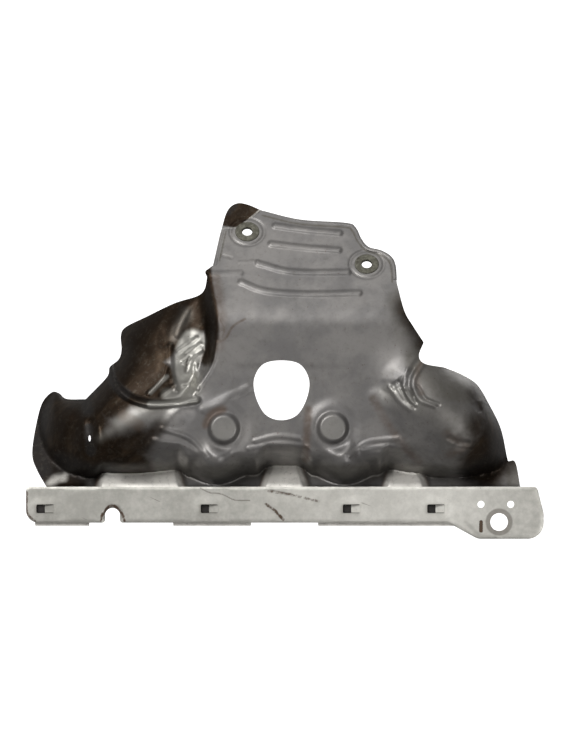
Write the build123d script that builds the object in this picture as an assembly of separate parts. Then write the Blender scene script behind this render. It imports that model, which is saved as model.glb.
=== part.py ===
from build123d import *
import os
from math import cos, radians, sin, tan

import numpy as np

# Exhaust manifold heat shield: a pressed sheet, the rail that its lower flange is clinched to, and two eyelets.
# Sizes are in millimetres and degrees. X runs along the rail from the mid-plane between the middle runners,
# Z points up from the rail's bolt hole, and the pressing stands out towards -Y from the rail's rear face.

# Sheet and rail stock
SHIELD_SHEET = 0.8
RAIL_SHEET = 1.5
SEAT_GAP = 0.9

# Rail outline and its holes
RAIL_LEFT = -173.0
RAIL_RIGHT = 179.0
RAIL_TOP = 24.0
RAIL_BOTTOM = -0.5
RAIL_CORNER = 3.0
RAIL_LEFT_ROUND = 8.5
RAIL_END_SLOPE = 4.5
RAIL_END_RUN = 18.0
EAR_DROP = 11.0
EAR_START = 134.0
EAR_RUN = 20.0
EAR_ROUND = 11.0
EAR_BEND = 8.0
BOLT_X = 148.6
BOLT_HOLE = 12.0
LOCATING_HOLE = 4.8
LOCATING_SPACING = 20.2
LOCATING_X = 146.4
LOCATING_Z = 12.0
STUD_SLOT_X = -114.2
STUD_SLOT_WIDTH = 10.2
STUD_SLOT_TOP = 9.5

# Clinches: a tongue lanced from the rail and set back through a slot in the flange
LANCE_X = (-160.0, -48.3, 48.3, 105.7)
LANCE_Z = 9.0
LANCE_LENGTH = 12.0
LANCE_HEIGHT = 6.0
TONGUE_LENGTH = 8.0
TONGUE_CLEARANCE = 0.4
TONGUE_ANGLE = 20.0
TONGUE_ROOT = 0.6

# Flange tabs behind the rail
STRIP_BOTTOM = 15.5
TAB_PEEP = 2.2
TAB_ROUND = 3.0
LEFT_TAB = (-165.0, -130.0)
MIDDLE_TAB = (-73.0, -20.0)
RIGHT_TAB = (25.5, 120.0)

# Main planes of the pressing: depths are measured in front of the flange
BODY_DEPTH = 16.0
BODY_FOOT = 45.0
UNDERSIDE_SLOPE = 2.2
NECK_LEAN = 36.0
NECK_FOOT = 142.0
NECK_BEND = 9.0
NECK_FLAT = 166.0
LEDGE_SLOPE = 0.8

# Runner bulges and the pockets under them
RUNNER_PITCH = 86.4
RUNNER_DEPTH = 22.0
RUNNER_FOOT = 38.5
RUNNER_ROUND = 15.0
POCKET_DEPTH = 6.0
SADDLE_WIDTH = 27.0

# Bosses
BOSS_SPACING = 73.8
BOSS_X = -1.5
BOSS_Z = 64.0
BOSS_DIAMETER = 19.0
BOSS_RISE = 4.5
BOSS_SEAT_DEPTH = 18.5
BOSS_SEAT_RADIUS = 13.0
BOSS_ROUND = 1.6

# Eyelets and their seats
EYELET_BORE = 7.0
EYELET_DIAMETER = 16.5
EYELET_WALL = 0.7
EYELET_ROLL = 11.5
EYELET_CLEARANCE = 0.1
LEFT_EYELET = (-22.8, 197.9)
RIGHT_EYELET = (58.8, 175.4)

# Outer edges of the pressing as seen from the front, from the rail's left end round to its right end
FLAP_EDGE = [(-158.8, 23.0), (-166.3, 35.4), (-170.0, 46.0), (-168.3, 63.9), (-164.2, 80.2), (-157.4, 88.0),
             (-152.0, 87.4), (-146.5, 83.6), (-133.1, 83.4)]
WING_EDGE = [(-133.1, 83.4), (-118.5, 98.5), (-116.6, 105.4), (-110.5, 110.8), (-108.8, 117.6), (-109.5, 126.7),
             (-106.4, 132.6), (-92.1, 139.6), (-72.4, 148.9), (-56.8, 153.7), (-51.7, 158.4), (-50.0, 166.6)]
CURL_EDGE = [(-50.0, 166.6), (-51.3, 170.3), (-48.6, 172.7), (-45.9, 174.8)]
NECK_LEFT_EDGE = [(-45.9, 174.8), (-40.5, 199.6), (-36.4, 212.8), (-30.3, 217.8), (-22.8, 217.1), (-12.6, 212.8)]
NECK_TOP_EDGE = [(-12.6, 212.8), (13.3, 206.6), (44.5, 204.3), (51.3, 201.3), (55.4, 193.1), (60.2, 187.5),
                 (69.0, 185.0), (75.8, 180.6), (78.5, 174.1), (79.1, 162.5)]
SHOULDER_EDGE = [(79.1, 162.5), (84.0, 143.5), (90.1, 132.8), (97.2, 122.1)]
NOTCH_EDGE = [(97.2, 122.1), (93.8, 113.1), (97.6, 107.7), (111.2, 105.1)]
LOBE_EDGE = [(111.2, 105.1), (123.4, 100.2), (134.0, 93.3), (142.5, 79.6), (150.6, 63.0), (155.6, 41.0)]
END_WALL_EDGE = [(155.6, 41.0), (160.6, 40.1), (163.5, 23.0)]

# Where the flat body ends: at the step down to the wing on the left, and at the rounded shoulder on the right
BODY_LEFT = [(-52.0, 190.0), (-48.6, 161.2), (-43.9, 137.4), (-43.2, 120.4), (-47.9, 104.7), (-57.5, 91.1),
             (-75.1, 70.7), (-92.1, 47.6), (-105.7, 28.6), (-109.1, 10.0)]
BODY_RIGHT = [(104.0, 190.0), (95.0, 165.0), (86.0, 145.0), (90.5, 129.0), (94.2, 115.6), (88.1, 102.0),
              (89.4, 83.0), (101.7, 55.8), (111.9, 35.4), (115.3, 10.0)]
STEP_SLOPE = 1.7
STEP_ROUND = 4.0
SHOULDER_SLOPE = 0.8
SHOULDER_ROUND = 12.0

# Crest lines of the covers over the two outer runners: x, z and depth
LEFT_CREST = [(-153.3, 31.3, -24.0), (-143.1, 38.1, -8.0), (-126.1, 49.0, 9.0), (-103.7, 63.9, 18.0),
              (-86.0, 81.6, 18.0), (-73.8, 102.0, 12.0), (-64.3, 125.1, 5.0), (-56.8, 147.6, 0.0),
              (-50.7, 172.7, -7.0)]
RIGHT_CREST = [(141.0, 30.0, -10.0), (131.6, 43.5, 10.0), (120.7, 59.8, 22.0), (107.1, 76.2, 27.0),
               (91.5, 91.1, 25.0), (79.2, 104.7, 18.0), (67.7, 120.4, 9.0)]
COVER_SLOPE = 2.2
COVER_ROUND = 74.0
LEFT_COVER_FOOT = 33.0
RIGHT_COVER_FOOT = 36.0

# Rim where the left cover meets the wing, and how far the wing lies below it
RIM_LINE = [(-116.0, 104.5), (-112.5, 94.5), (-103.0, 85.5), (-87.4, 80.8), (-71.7, 81.5), (-57.5, 83.5)]
WING_DROP = 3.0

# Roll of the covers' outer edges: x, z and how far the edge turns back there
LEFT_ROLL = [(-158.8, 10.0, 0.0), (-166.3, 35.4, 7.0), (-170.0, 46.0, 12.0), (-168.3, 63.9, 14.0),
             (-164.2, 80.2, 14.0), (-154.5, 88.0, 14.0), (-146.5, 83.6, 14.0), (-133.1, 83.4, 13.0),
             (-118.5, 98.5, 11.0), (-109.0, 115.0, 10.0), (-106.4, 132.6, 8.0), (-72.4, 148.9, 5.0),
             (-51.7, 158.4, 1.0), (-45.9, 180.0, 0.0), (-40.0, 230.0, 0.0)]
RIGHT_ROLL = [(88.0, 150.0, 0.0), (97.2, 116.0, 3.0), (111.2, 105.1, 10.0), (123.4, 100.2, 15.0),
              (134.0, 93.3, 18.0), (142.5, 79.6, 20.0), (150.6, 63.0, 20.0), (155.6, 44.0, 14.0),
              (160.0, 30.0, 0.0), (163.5, 5.0, 0.0)]
ROLL_REACH = 15.0
DEEPEST = -42.0

# Stations of the pressing's surface
X_PITCH = 12.0
Z_PITCH = 8.0
LOWEST = -14.0
HIGHEST = 226.0
MARGIN = 6.0

# Half of the sensor window, from its top to its bottom, and where its middle is
WINDOW_X = 0.7
WINDOW_HALF = [(0.0, 109.8), (12.4, 107.2), (18.6, 97.0), (17.2, 84.5), (10.6, 73.0), (0.0, 69.4)]


def turned(value, reach):
    """Nothing below -reach, the value itself above +reach, and a parabola between them."""
    inner = np.clip(value, -reach, reach)
    return (inner + reach) ** 2 / (4 * reach) + np.maximum(value - reach, 0)


def higher(first, second, soft):
    """The higher of two surfaces, with a fillet of about the given size where they meet."""
    return (first + second + np.sqrt((first - second) ** 2 + soft ** 2)) / 2


def fade(value, start, end):
    """A smooth change from 0 at start to 1 at end."""
    share = np.clip((value - start) / (end - start), 0, 1)
    return share * share * (3 - 2 * share)


def sampled(points, count=61):
    """Points spaced along the spline through a line's points."""
    rows = [point if len(point) == 3 else (*point, 0.0) for point in points]
    line = Spline(*rows)
    return [line @ (index / (count - 1)) for index in range(count)]


def nearest(x, z, line):
    """Distance to a line, the same with a minus sign on its right, and the line's third value there."""
    distance = np.full(x.shape, np.inf)
    signed = np.zeros(x.shape)
    value = np.zeros(x.shape)
    for start, end in zip(line, line[1:]):
        run = end - start
        share = ((x - start.X) * run.X + (z - start.Y) * run.Y) / (run.X ** 2 + run.Y ** 2)
        share = np.clip(share, 0, 1)
        across = np.hypot(x - start.X - share * run.X, z - start.Y - share * run.Y)
        side = np.sign(run.X * (z - start.Y) - run.Y * (x - start.X))
        closer = across < distance
        signed = np.where(closer, side * across, signed)
        value = np.where(closer, start.Z + share * run.Z, value)
        distance = np.minimum(across, distance)
    return distance, signed, value


def arched(distance, slope, roundness):
    """How far an arch has fallen at a distance from its crest."""
    return slope * (np.sqrt(distance ** 2 + roundness ** 2) - roundness)


def body_depth(x, z):
    """The flat body with its underside, the leaning neck, the step on the left and the shoulder on the right."""
    depth = BODY_DEPTH - UNDERSIDE_SLOPE * turned(BODY_FOOT - z, STEP_ROUND)
    depth = depth - tan(radians(NECK_LEAN)) * turned(z - NECK_FOOT, NECK_BEND)
    left = nearest(x, z, sampled(BODY_LEFT))[1]
    right = nearest(x, z, sampled(BODY_RIGHT))[1]
    return depth - STEP_SLOPE * turned(-left, STEP_ROUND) - SHOULDER_SLOPE * turned(right, SHOULDER_ROUND)


def cover_depth(x, z, crest, foot):
    """The arched cover over an outer runner."""
    distance, _, top = nearest(x, z, sampled(crest))
    return top - arched(distance, COVER_SLOPE, COVER_ROUND) - UNDERSIDE_SLOPE * turned(foot - z, STEP_ROUND)


def runner_depth(x, z, side):
    """The bulge over a middle runner, from its boss down to the rail."""
    boss = BOSS_X + side * BOSS_SPACING / 2
    runner = side * RUNNER_PITCH / 2
    crest = [(boss, BOSS_Z + 22, BODY_DEPTH - 6), (boss, BOSS_Z, RUNNER_DEPTH), (runner, RUNNER_FOOT, RUNNER_DEPTH),
             (runner, 0, RUNNER_DEPTH)]
    distance, _, top = nearest(x, z, sampled(crest))
    return top - arched(distance, UNDERSIDE_SLOPE, RUNNER_ROUND) - UNDERSIDE_SLOPE * turned(RUNNER_FOOT - z, STEP_ROUND)


def ledge_depth(x, z):
    """The ledge above the flange: raised saddles between the pockets under the runners."""
    saddle = np.zeros(x.shape)
    for index in (-1, 0, 1):
        away = np.abs(x - index * RUNNER_PITCH) - SADDLE_WIDTH / 2 + (z - RAIL_TOP) * 0.3
        saddle = np.maximum(saddle, fade(-away, -7, 2))
    pocket = POCKET_DEPTH * (1 - saddle) * fade(z, RAIL_TOP - 14, RAIL_TOP + 5)
    return -LEDGE_SLOPE * turned(z - RAIL_TOP, 5) - pocket


def pressing_depth(x, z):
    """How far the pressing's front stands in front of the flange."""
    left = cover_depth(x, z, LEFT_CREST, LEFT_COVER_FOOT)
    beyond_rim = nearest(x, z, sampled(RIM_LINE))[1]
    left = left - WING_DROP * fade(beyond_rim, -1, 6) * fade(x, -122, -112) * fade(-x, 48, 60)
    depth = higher(body_depth(x, z), left, 4)
    depth = higher(depth, cover_depth(x, z, RIGHT_CREST, RIGHT_COVER_FOOT), 5)
    for side in (-1, 1):
        depth = higher(depth, runner_depth(x, z, side), 5)
    for line in (LEFT_ROLL, RIGHT_ROLL):
        _, inside, roll = nearest(x, z, sampled(line))
        depth = depth - roll * np.clip(1 + inside / ROLL_REACH, 0, 1.5) ** 2
    for side in (-1, 1):
        away = np.hypot(x - BOSS_X - side * BOSS_SPACING / 2, z - BOSS_Z)
        seat = fade(-away, -BOSS_SEAT_RADIUS - 6, -BOSS_SEAT_RADIUS)
        depth = depth + seat * (BOSS_SEAT_DEPTH - depth)
    depth = higher(depth, ledge_depth(x, z), 2.5)
    neck = BODY_DEPTH - tan(radians(NECK_LEAN)) * (z - NECK_FOOT)
    flat = fade(z, NECK_FLAT - 2 * NECK_BEND, NECK_FLAT)
    return higher(depth, DEEPEST, 8) * (1 - flat) + neck * flat


def pressing_face():
    """The pressing's front as one smooth surface through its stations."""
    xs = np.arange(RAIL_LEFT - MARGIN, RAIL_RIGHT, X_PITCH)
    zs = np.arange(LOWEST, HIGHEST, Z_PITCH)
    x, z = np.meshgrid(xs, zs)
    y = SEAT_GAP - pressing_depth(x, z)
    shares = [index / (len(xs) - 1) for index in range(len(xs))]
    sections = []
    for row, height in enumerate(zs):
        points = [(xs[column], y[row, column], height) for column in range(len(xs))]
        sections.append(Wire([Edge.make_spline(points, parameters=shares)]))
    return Shell.make_loft(sections).faces()[0]


def neck_plane():
    """The front of the neck, with its own X along the part and its own Y up the slope."""
    lean = radians(NECK_LEAN)
    foot = (0, SEAT_GAP - BODY_DEPTH, NECK_FOOT)
    return Plane(origin=foot, x_dir=(1, 0, 0), z_dir=(0, -cos(lean), sin(lean)))


def on_neck(point):
    """A point that is given as seen from the front, in the neck plane's own coordinates."""
    return (point[0], (point[1] - NECK_FOOT) / cos(radians(NECK_LEAN)))


def front_view(sketch):
    """A prism through the whole part with an outline that is drawn as seen from the front."""
    return extrude(Plane.XZ * sketch, 2 * (BODY_DEPTH - DEEPEST), both=True)


def flange_edge():
    """Lower edge of the flange: a strip with three tabs that show under the rail."""
    low = RAIL_BOTTOM - TAB_PEEP
    points = [FLAP_EDGE[0], (LEFT_TAB[0], STRIP_BOTTOM)]
    for left, right in (LEFT_TAB, MIDDLE_TAB, RIGHT_TAB):
        points += [(left, STRIP_BOTTOM), (left, low), (right, low), (right, STRIP_BOTTOM)]
    points += [(END_WALL_EDGE[-1][0], STRIP_BOTTOM), END_WALL_EDGE[-1]]
    return FilletPolyline(*dict.fromkeys(points), radius=TAB_ROUND)


def outline_sketch():
    """Outer edge of the pressing as seen from the front."""
    free = (FLAP_EDGE, WING_EDGE, CURL_EDGE, NECK_LEFT_EDGE, NECK_TOP_EDGE, SHOULDER_EDGE, NOTCH_EDGE, LOBE_EDGE,
            END_WALL_EDGE)
    return make_face([Spline(*points) for points in free] + flange_edge().edges())


def window_sketch():
    """The window that leaves room for the sensor in the manifold."""
    right = [(WINDOW_X + x, z) for x, z in WINDOW_HALF]
    left = [(WINDOW_X - x, z) for x, z in WINDOW_HALF[-2:0:-1]]
    return make_face(Spline(*right, *left, periodic=True))


def embossed(profile, inner_profile, rise, rounding):
    """A raised shape on its profile's plane, and the hollow behind it that leaves the sheet's thickness."""
    raised = extrude(profile, rise) + extrude(profile, -SHIELD_SHEET / 2)
    raised = fillet(raised.edges().group_by(Axis.Z)[-1], rounding)
    hollow = extrude(inner_profile, rise - SHIELD_SHEET) + extrude(inner_profile, -3 * SHIELD_SHEET)
    return raised, hollow


def round_emboss(plane, diameter, rise, rounding):
    """An embossed disc about a plane's origin."""
    shapes = embossed(Circle(diameter / 2), Circle(diameter / 2 - SHIELD_SHEET), rise, rounding)
    return [plane * shape for shape in shapes]


def eyelet_plane(place):
    """The front of the neck about an eyelet."""
    neck = neck_plane()
    return Plane(neck.from_local_coords((*on_neck(place), 0)), neck.x_dir, neck.z_dir)


def boss_plane(side):
    """The flat seat around a boss."""
    place = (BOSS_X + side * BOSS_SPACING / 2, SEAT_GAP - BOSS_SEAT_DEPTH, BOSS_Z)
    return Plane(place, x_dir=(1, 0, 0), z_dir=(0, -1, 0))


def lance_slots():
    """Slots in the flange that the rail's tongues pass through."""
    room = 2 * TONGUE_CLEARANCE
    slot = Box(LANCE_LENGTH + room, 4 * RAIL_SHEET, LANCE_HEIGHT + room)
    return [Pos(x, 0, LANCE_Z) * slot for x in LANCE_X]


def shield_pressing():
    """The pressed sheet: flange, ledge, covers, body and neck in one piece."""
    sheet = Solid.thicken(pressing_face(), -SHIELD_SHEET) & front_view(outline_sketch())
    embosses = [round_emboss(boss_plane(side), BOSS_DIAMETER, BOSS_RISE, BOSS_ROUND) for side in (-1, 1)]
    holes = [front_view(window_sketch()), *lance_slots()]
    for place in (LEFT_EYELET, RIGHT_EYELET):
        seat = eyelet_plane(place)
        holes.append(seat * Cylinder(EYELET_BORE / 2 + EYELET_WALL + EYELET_CLEARANCE, 8 * SHIELD_SHEET))
    sheet = sheet + [raised for raised, _ in embosses]
    return sheet - [hollow for _, hollow in embosses] - holes


def eyelet(place):
    """A flanged eyelet, rolled over behind the neck."""
    bore = EYELET_BORE / 2
    barrel = bore + EYELET_WALL
    front = EYELET_CLEARANCE
    back = -SHIELD_SHEET - EYELET_CLEARANCE
    profile = Polyline((bore, back - EYELET_WALL), (EYELET_ROLL / 2, back - EYELET_WALL), (EYELET_ROLL / 2, back),
                       (barrel, back), (barrel, front), (EYELET_DIAMETER / 2, front),
                       (EYELET_DIAMETER / 2, front + EYELET_WALL), (bore, front + EYELET_WALL), close=True)
    return eyelet_plane(place) * revolve(Plane.XZ * make_face(profile), Axis.Z)


def rail_sketch():
    """Outline of the rail with its bolt hole, locating holes, stud slot and clinch windows."""
    low = RAIL_BOTTOM - EAR_DROP
    corners = {(RAIL_LEFT, RAIL_TOP): RAIL_CORNER,
               (RAIL_RIGHT - RAIL_END_SLOPE, RAIL_TOP): RAIL_CORNER,
               (RAIL_RIGHT, RAIL_TOP - RAIL_END_RUN): EAR_ROUND,
               (RAIL_RIGHT, low): EAR_ROUND,
               (EAR_START, low): EAR_BEND,
               (EAR_START - EAR_RUN, RAIL_BOTTOM): EAR_BEND,
               (RAIL_LEFT, RAIL_BOTTOM): RAIL_LEFT_ROUND}
    plate = make_face(FilletPolyline(*corners, radius=list(corners.values()), close=True))
    slot_end = STUD_SLOT_TOP - STUD_SLOT_WIDTH / 2
    plate -= Pos(BOLT_X, 0) * Circle(BOLT_HOLE / 2)
    plate -= Pos(LOCATING_X, LOCATING_Z) * GridLocations(LOCATING_SPACING, 0, 2, 1) * Circle(LOCATING_HOLE / 2)
    plate -= Pos(STUD_SLOT_X, slot_end - EAR_DROP) * SlotCenterToCenter(2 * EAR_DROP, STUD_SLOT_WIDTH, rotation=90)
    plate -= [Pos(x, LANCE_Z) * Rectangle(LANCE_LENGTH, LANCE_HEIGHT) for x in LANCE_X]
    return plate


def mounting_rail():
    """The plate in front of the flange, with the tongues that clinch the two together."""
    rail = extrude(Plane.XZ * rail_sketch(), RAIL_SHEET)
    height = LANCE_HEIGHT - 2 * TONGUE_CLEARANCE
    tongue = Box(TONGUE_LENGTH, RAIL_SHEET, height, align=(Align.MAX, Align.MAX, Align.CENTER))
    root = LANCE_LENGTH / 2 + TONGUE_ROOT
    return rail + [Pos(x + root, 0, LANCE_Z) * Rot(0, 0, -TONGUE_ANGLE) * tongue for x in LANCE_X]


NODES = {
    "shield_pressing": shield_pressing(),
    "mounting_rail": mounting_rail(),
    "left_eyelet": eyelet(LEFT_EYELET),
    "right_eyelet": eyelet(RIGHT_EYELET),
}

os.makedirs("parts", exist_ok=True)
for name, shape in NODES.items():
    export_step(Pos(-BOLT_X, 0, 0) * shape, f"parts/{name}.step")
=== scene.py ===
"""Looks of a worn exhaust heat shield: its pressed sheet, its mounting rail and its two eyelets.

Sizes are in millimetres as seen from the front: u runs along the rail from the mid-plane between the middle
runners, v points up from the rail's bolt hole, and a depth stands out from the flange towards the viewer.
"""

import logging
from dataclasses import dataclass
from enum import Enum
from math import cos, pi, radians, sin, tan
from typing import Any, Callable, Sequence

import bpy
import numpy as np
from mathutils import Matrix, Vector, noise
from mathutils.geometry import delaunay_2d_cdt


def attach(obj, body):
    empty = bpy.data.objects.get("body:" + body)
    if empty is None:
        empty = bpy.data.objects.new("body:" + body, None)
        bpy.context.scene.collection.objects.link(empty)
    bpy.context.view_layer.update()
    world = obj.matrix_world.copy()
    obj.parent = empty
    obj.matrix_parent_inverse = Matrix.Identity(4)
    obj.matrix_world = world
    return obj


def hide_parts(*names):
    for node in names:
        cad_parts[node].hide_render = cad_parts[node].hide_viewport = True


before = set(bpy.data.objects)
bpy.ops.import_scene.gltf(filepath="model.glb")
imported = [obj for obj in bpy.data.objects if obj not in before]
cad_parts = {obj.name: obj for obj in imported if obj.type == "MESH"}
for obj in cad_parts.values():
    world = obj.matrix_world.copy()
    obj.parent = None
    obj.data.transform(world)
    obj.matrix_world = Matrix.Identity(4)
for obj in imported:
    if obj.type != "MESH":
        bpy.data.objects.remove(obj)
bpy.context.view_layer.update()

LOG = logging.getLogger("heat_shield")
MM = 0.001
BOLT_U = 148.6
RIDGE_POWER = 1.5
ROOT_BODY = "root"

Point = tuple[float, ...]
Colour = tuple[float, float, float]
Field = np.ndarray


class Mask(Enum):
    """Stains, wear and painted light and shade that a sheet carries as values on its points."""

    BURN = "burn_and_shade"
    CHAR_AND_SHADE = "char_and_shade"
    RUST = "rust"
    SILVER_AND_HIGHLIGHT = "silver_and_highlight"
    PALE_AND_PAINTED_LIGHT = "pale"
    SOOT_AND_SHADE = "soot_and_shade"
    INNER = "inner"


class Slot(Enum):
    """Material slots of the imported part."""

    SHEET = "aluminised_sheet"
    RAIL = "rail_steel"
    EYELET = "eyelet_steel"


def fade(value: Field, start: float, end: float) -> Field:
    """A smooth change from 0 at start to 1 at end."""
    share = np.clip((value - start) / (end - start), 0, 1)
    return share * share * (3 - 2 * share)


def turned(value: Field, reach: float) -> Field:
    """Nothing below -reach, the value itself above reach, and a parabola between them."""
    inner = np.clip(value, -reach, reach)
    return (inner + reach) ** 2 / (4 * reach) + np.maximum(value - reach, 0)


def higher(first: Field, second: Field, soft: float) -> Field:
    """The higher of two surfaces, with a fillet of about the given size where they meet."""
    return (first + second + np.sqrt((first - second) ** 2 + soft ** 2)) / 2


def arched(distance: Field, slope: float, roundness: float) -> Field:
    """How far an arch has fallen at a distance from its crest."""
    return slope * (np.sqrt(distance ** 2 + roundness ** 2) - roundness)


def smooth_noise(u: Field, v: Field, size: float, seed: float) -> Field:
    """Seeded noise between about -1 and 1.

    Args:
        u: Places along the rail.
        v: Places up the shield.
        size: Size of the noise's lumps.
        seed: Offset that picks one noise.

    Returns:
        One value for each place.
    """
    values = [noise.noise((a / size, b / size, seed)) for a, b in zip(u.tolist(), v.tolist())]
    return np.array(values)


@dataclass(frozen=True)
class Line:
    """A smooth line through a few points, which may carry a value along it."""

    points: Sequence[Point]
    steps: int = 10

    def samples(self) -> np.ndarray:
        """Points along the curve that passes through the line's points.

        Returns:
            The points, in order.
        """
        given = np.asarray(self.points, float)
        if len(given) < 3:
            return given
        padded = np.vstack([2 * given[0] - given[1], given, 2 * given[-1] - given[-2]])
        share = np.linspace(0, 1, self.steps, endpoint=False)[:, None]
        parts = []
        for before, start, end, after in zip(padded, padded[1:], padded[2:], padded[3:]):
            parts.append(0.5 * (2 * start + (end - before) * share
                                + (2 * before - 5 * start + 4 * end - after) * share ** 2
                                + (3 * start - before - 3 * end + after) * share ** 3))
        return np.vstack([*parts, given[-1:]])

    def nearest(self, u: Field, v: Field) -> tuple[Field, Field, Field]:
        """Where places lie about the line.

        Args:
            u: Places along the rail.
            v: Places up the shield.

        Returns:
            Distance, distance with a plus sign on the line's left, and the value carried there.
        """
        rows = self.samples()
        best = np.full(u.shape, np.inf)
        signed = np.zeros(u.shape)
        value = np.zeros(u.shape)
        for start, end in zip(rows, rows[1:]):
            du, dv = end[0] - start[0], end[1] - start[1]
            share = np.clip(((u - start[0]) * du + (v - start[1]) * dv) / (du * du + dv * dv), 0, 1)
            away = np.hypot(u - start[0] - share * du, v - start[1] - share * dv)
            side = np.sign(du * (v - start[1]) - dv * (u - start[0]))
            closer = away < best
            signed = np.where(closer, side * away, signed)
            if rows.shape[1] > 2:
                value = np.where(closer, start[2] + share * (end[2] - start[2]), value)
            best = np.minimum(best, away)
        return best, signed, value


@dataclass(frozen=True)
class Ridge:
    """A pressed or dented line: how wide it is, and how far it stands out, or sinks in if negative."""

    line: Line
    width: float
    rise: float

    def depth(self, u: Field, v: Field) -> Field:
        """How far the ridge stands out at the given places."""
        away = self.line.nearest(u, v)[0]
        return self.rise * np.clip(1 - (away / self.width) ** 2, 0, 1) ** RIDGE_POWER


@dataclass(frozen=True)
class Stroke:
    """A patch of one mask along a line, for a stain and for painted light and shade alike."""

    mask: Mask
    line: Line
    reach: float
    strength: float = 1.0
    core: float = 0.0

    def value(self, u: Field, v: Field) -> Field:
        """Strength of the stain at the given places."""
        away = self.line.nearest(u, v)[0]
        return self.strength * fade(-away, -self.reach, -self.core)


def ridges(*rows: tuple) -> tuple[Ridge, ...]:
    """Ridges from rows of width, rise and the points of a line."""
    return tuple(Ridge(Line(points), width, rise) for width, rise, *points in rows)


def strokes(mask: Mask, *rows: tuple) -> tuple[Stroke, ...]:
    """Strokes of one mask from rows of reach, strength, core and the points of a line."""
    return tuple(Stroke(mask, Line(points), reach, strength, core) for reach, strength, core, *points in rows)


def add_to_mask(stains: dict[Mask, Field], mask: Mask, value: Field) -> None:
    """Adds a value to what the same mask holds already."""
    stains[mask] = np.maximum(stains[mask], value)


def placed(name: str, data: bpy.types.ID) -> bpy.types.Object:
    """A new object at the scene's origin that shows the given data.

    Args:
        name: The object's name.
        data: Its mesh, light or camera.

    Returns:
        The new object.
    """
    made = bpy.data.objects.new(name, data)
    bpy.context.scene.collection.objects.link(made)
    return made


def to_frame(u: Field, y: Field, v: Field) -> np.ndarray:
    """Front-view places and their y, all in millimetres, as points of the frame in metres."""
    return np.stack([u - BOLT_U, y, v], axis=-1) * MM


def arc(centre: Point, radius: float, start: float, end: float, step: float) -> list[Point]:
    """Points along an arc, with angles in degrees.

    Args:
        centre: Middle of the arc.
        radius: Its radius.
        start: First angle.
        end: Last angle.
        step: Distance between points.

    Returns:
        The points, with both ends.
    """
    count = max(3, round(abs(radians(end - start)) * radius / step))
    angles = np.linspace(radians(start), radians(end), count + 1)
    return [(centre[0] + radius * cos(a), centre[1] + radius * sin(a)) for a in angles]


def rounded_loop(corners: dict[Point, float], step: float) -> np.ndarray:
    """A closed outline with rounded corners.

    Args:
        corners: Each corner with its radius, in order.
        step: Distance between points on the rounds.

    Returns:
        The outline's points.
    """
    places = [np.array(corner) for corner in corners]
    points: list[np.ndarray] = []
    for index, (corner, radius) in enumerate(zip(places, corners.values())):
        to_last = places[index - 1] - corner
        to_next = places[(index + 1) % len(places)] - corner
        to_last, to_next = to_last / np.hypot(*to_last), to_next / np.hypot(*to_next)
        half = np.arccos(np.clip(to_last @ to_next, -1, 1)) / 2
        run = radius / tan(half)
        middle = to_last + to_next
        centre = corner + middle / np.hypot(*middle) * radius / sin(half)
        first, last = corner + to_last * run - centre, corner + to_next * run - centre
        turn = np.arctan2(first[0] * last[1] - first[1] * last[0], first @ last)
        count = max(3, round(abs(turn) * radius / step))
        for share in np.linspace(0, 1, count + 1):
            angle = np.arctan2(first[1], first[0]) + turn * share
            points.append(centre + radius * np.array([cos(angle), sin(angle)]))
    return np.array(points)


def respaced(loop: np.ndarray, step: float) -> np.ndarray:
    """A closed outline with points at an even step along it.

    Args:
        loop: The outline's points.
        step: Distance between the new points.

    Returns:
        The new points.
    """
    closed = np.vstack([loop, loop[:1]])
    lengths = np.hypot(*np.diff(closed, axis=0).T)
    closed = closed[np.concatenate([[True], lengths > 1e-6])]
    lengths = np.hypot(*np.diff(closed, axis=0).T)
    along = np.concatenate([[0], np.cumsum(lengths)])
    places = np.linspace(0, along[-1], max(8, round(along[-1] / step)), endpoint=False)
    return np.stack([np.interp(places, along, closed[:, axis]) for axis in (0, 1)], axis=-1)


def inside(loop: np.ndarray, u: Field, v: Field) -> np.ndarray:
    """Which places lie inside a closed outline.

    Args:
        loop: The outline's points.
        u: Places along the rail.
        v: Places up the shield.

    Returns:
        True for each place inside.
    """
    result = np.zeros(u.shape, bool)
    for start, end in zip(loop, np.roll(loop, -1, axis=0)):
        crosses = (start[1] > v) != (end[1] > v)
        rise = end[1] - start[1] if end[1] != start[1] else 1e-9
        result ^= crosses & (u < start[0] + (v - start[1]) / rise * (end[0] - start[0]))
    return result


def edge_distance(loops: Sequence[np.ndarray], u: Field, v: Field) -> Field:
    """Distance from each place to the nearest of some closed outlines.

    Args:
        loops: The outlines.
        u: Places along the rail.
        v: Places up the shield.

    Returns:
        One distance for each place.
    """
    best = np.full(u.shape, np.inf)
    for loop in loops:
        for start, end in zip(loop, np.roll(loop, -1, axis=0)):
            run = end - start
            share = np.clip(((u - start[0]) * run[0] + (v - start[1]) * run[1]) / (run @ run), 0, 1)
            best = np.minimum(best, np.hypot(u - start[0] - share * run[0], v - start[1] - share * run[1]))
    return best


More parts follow.
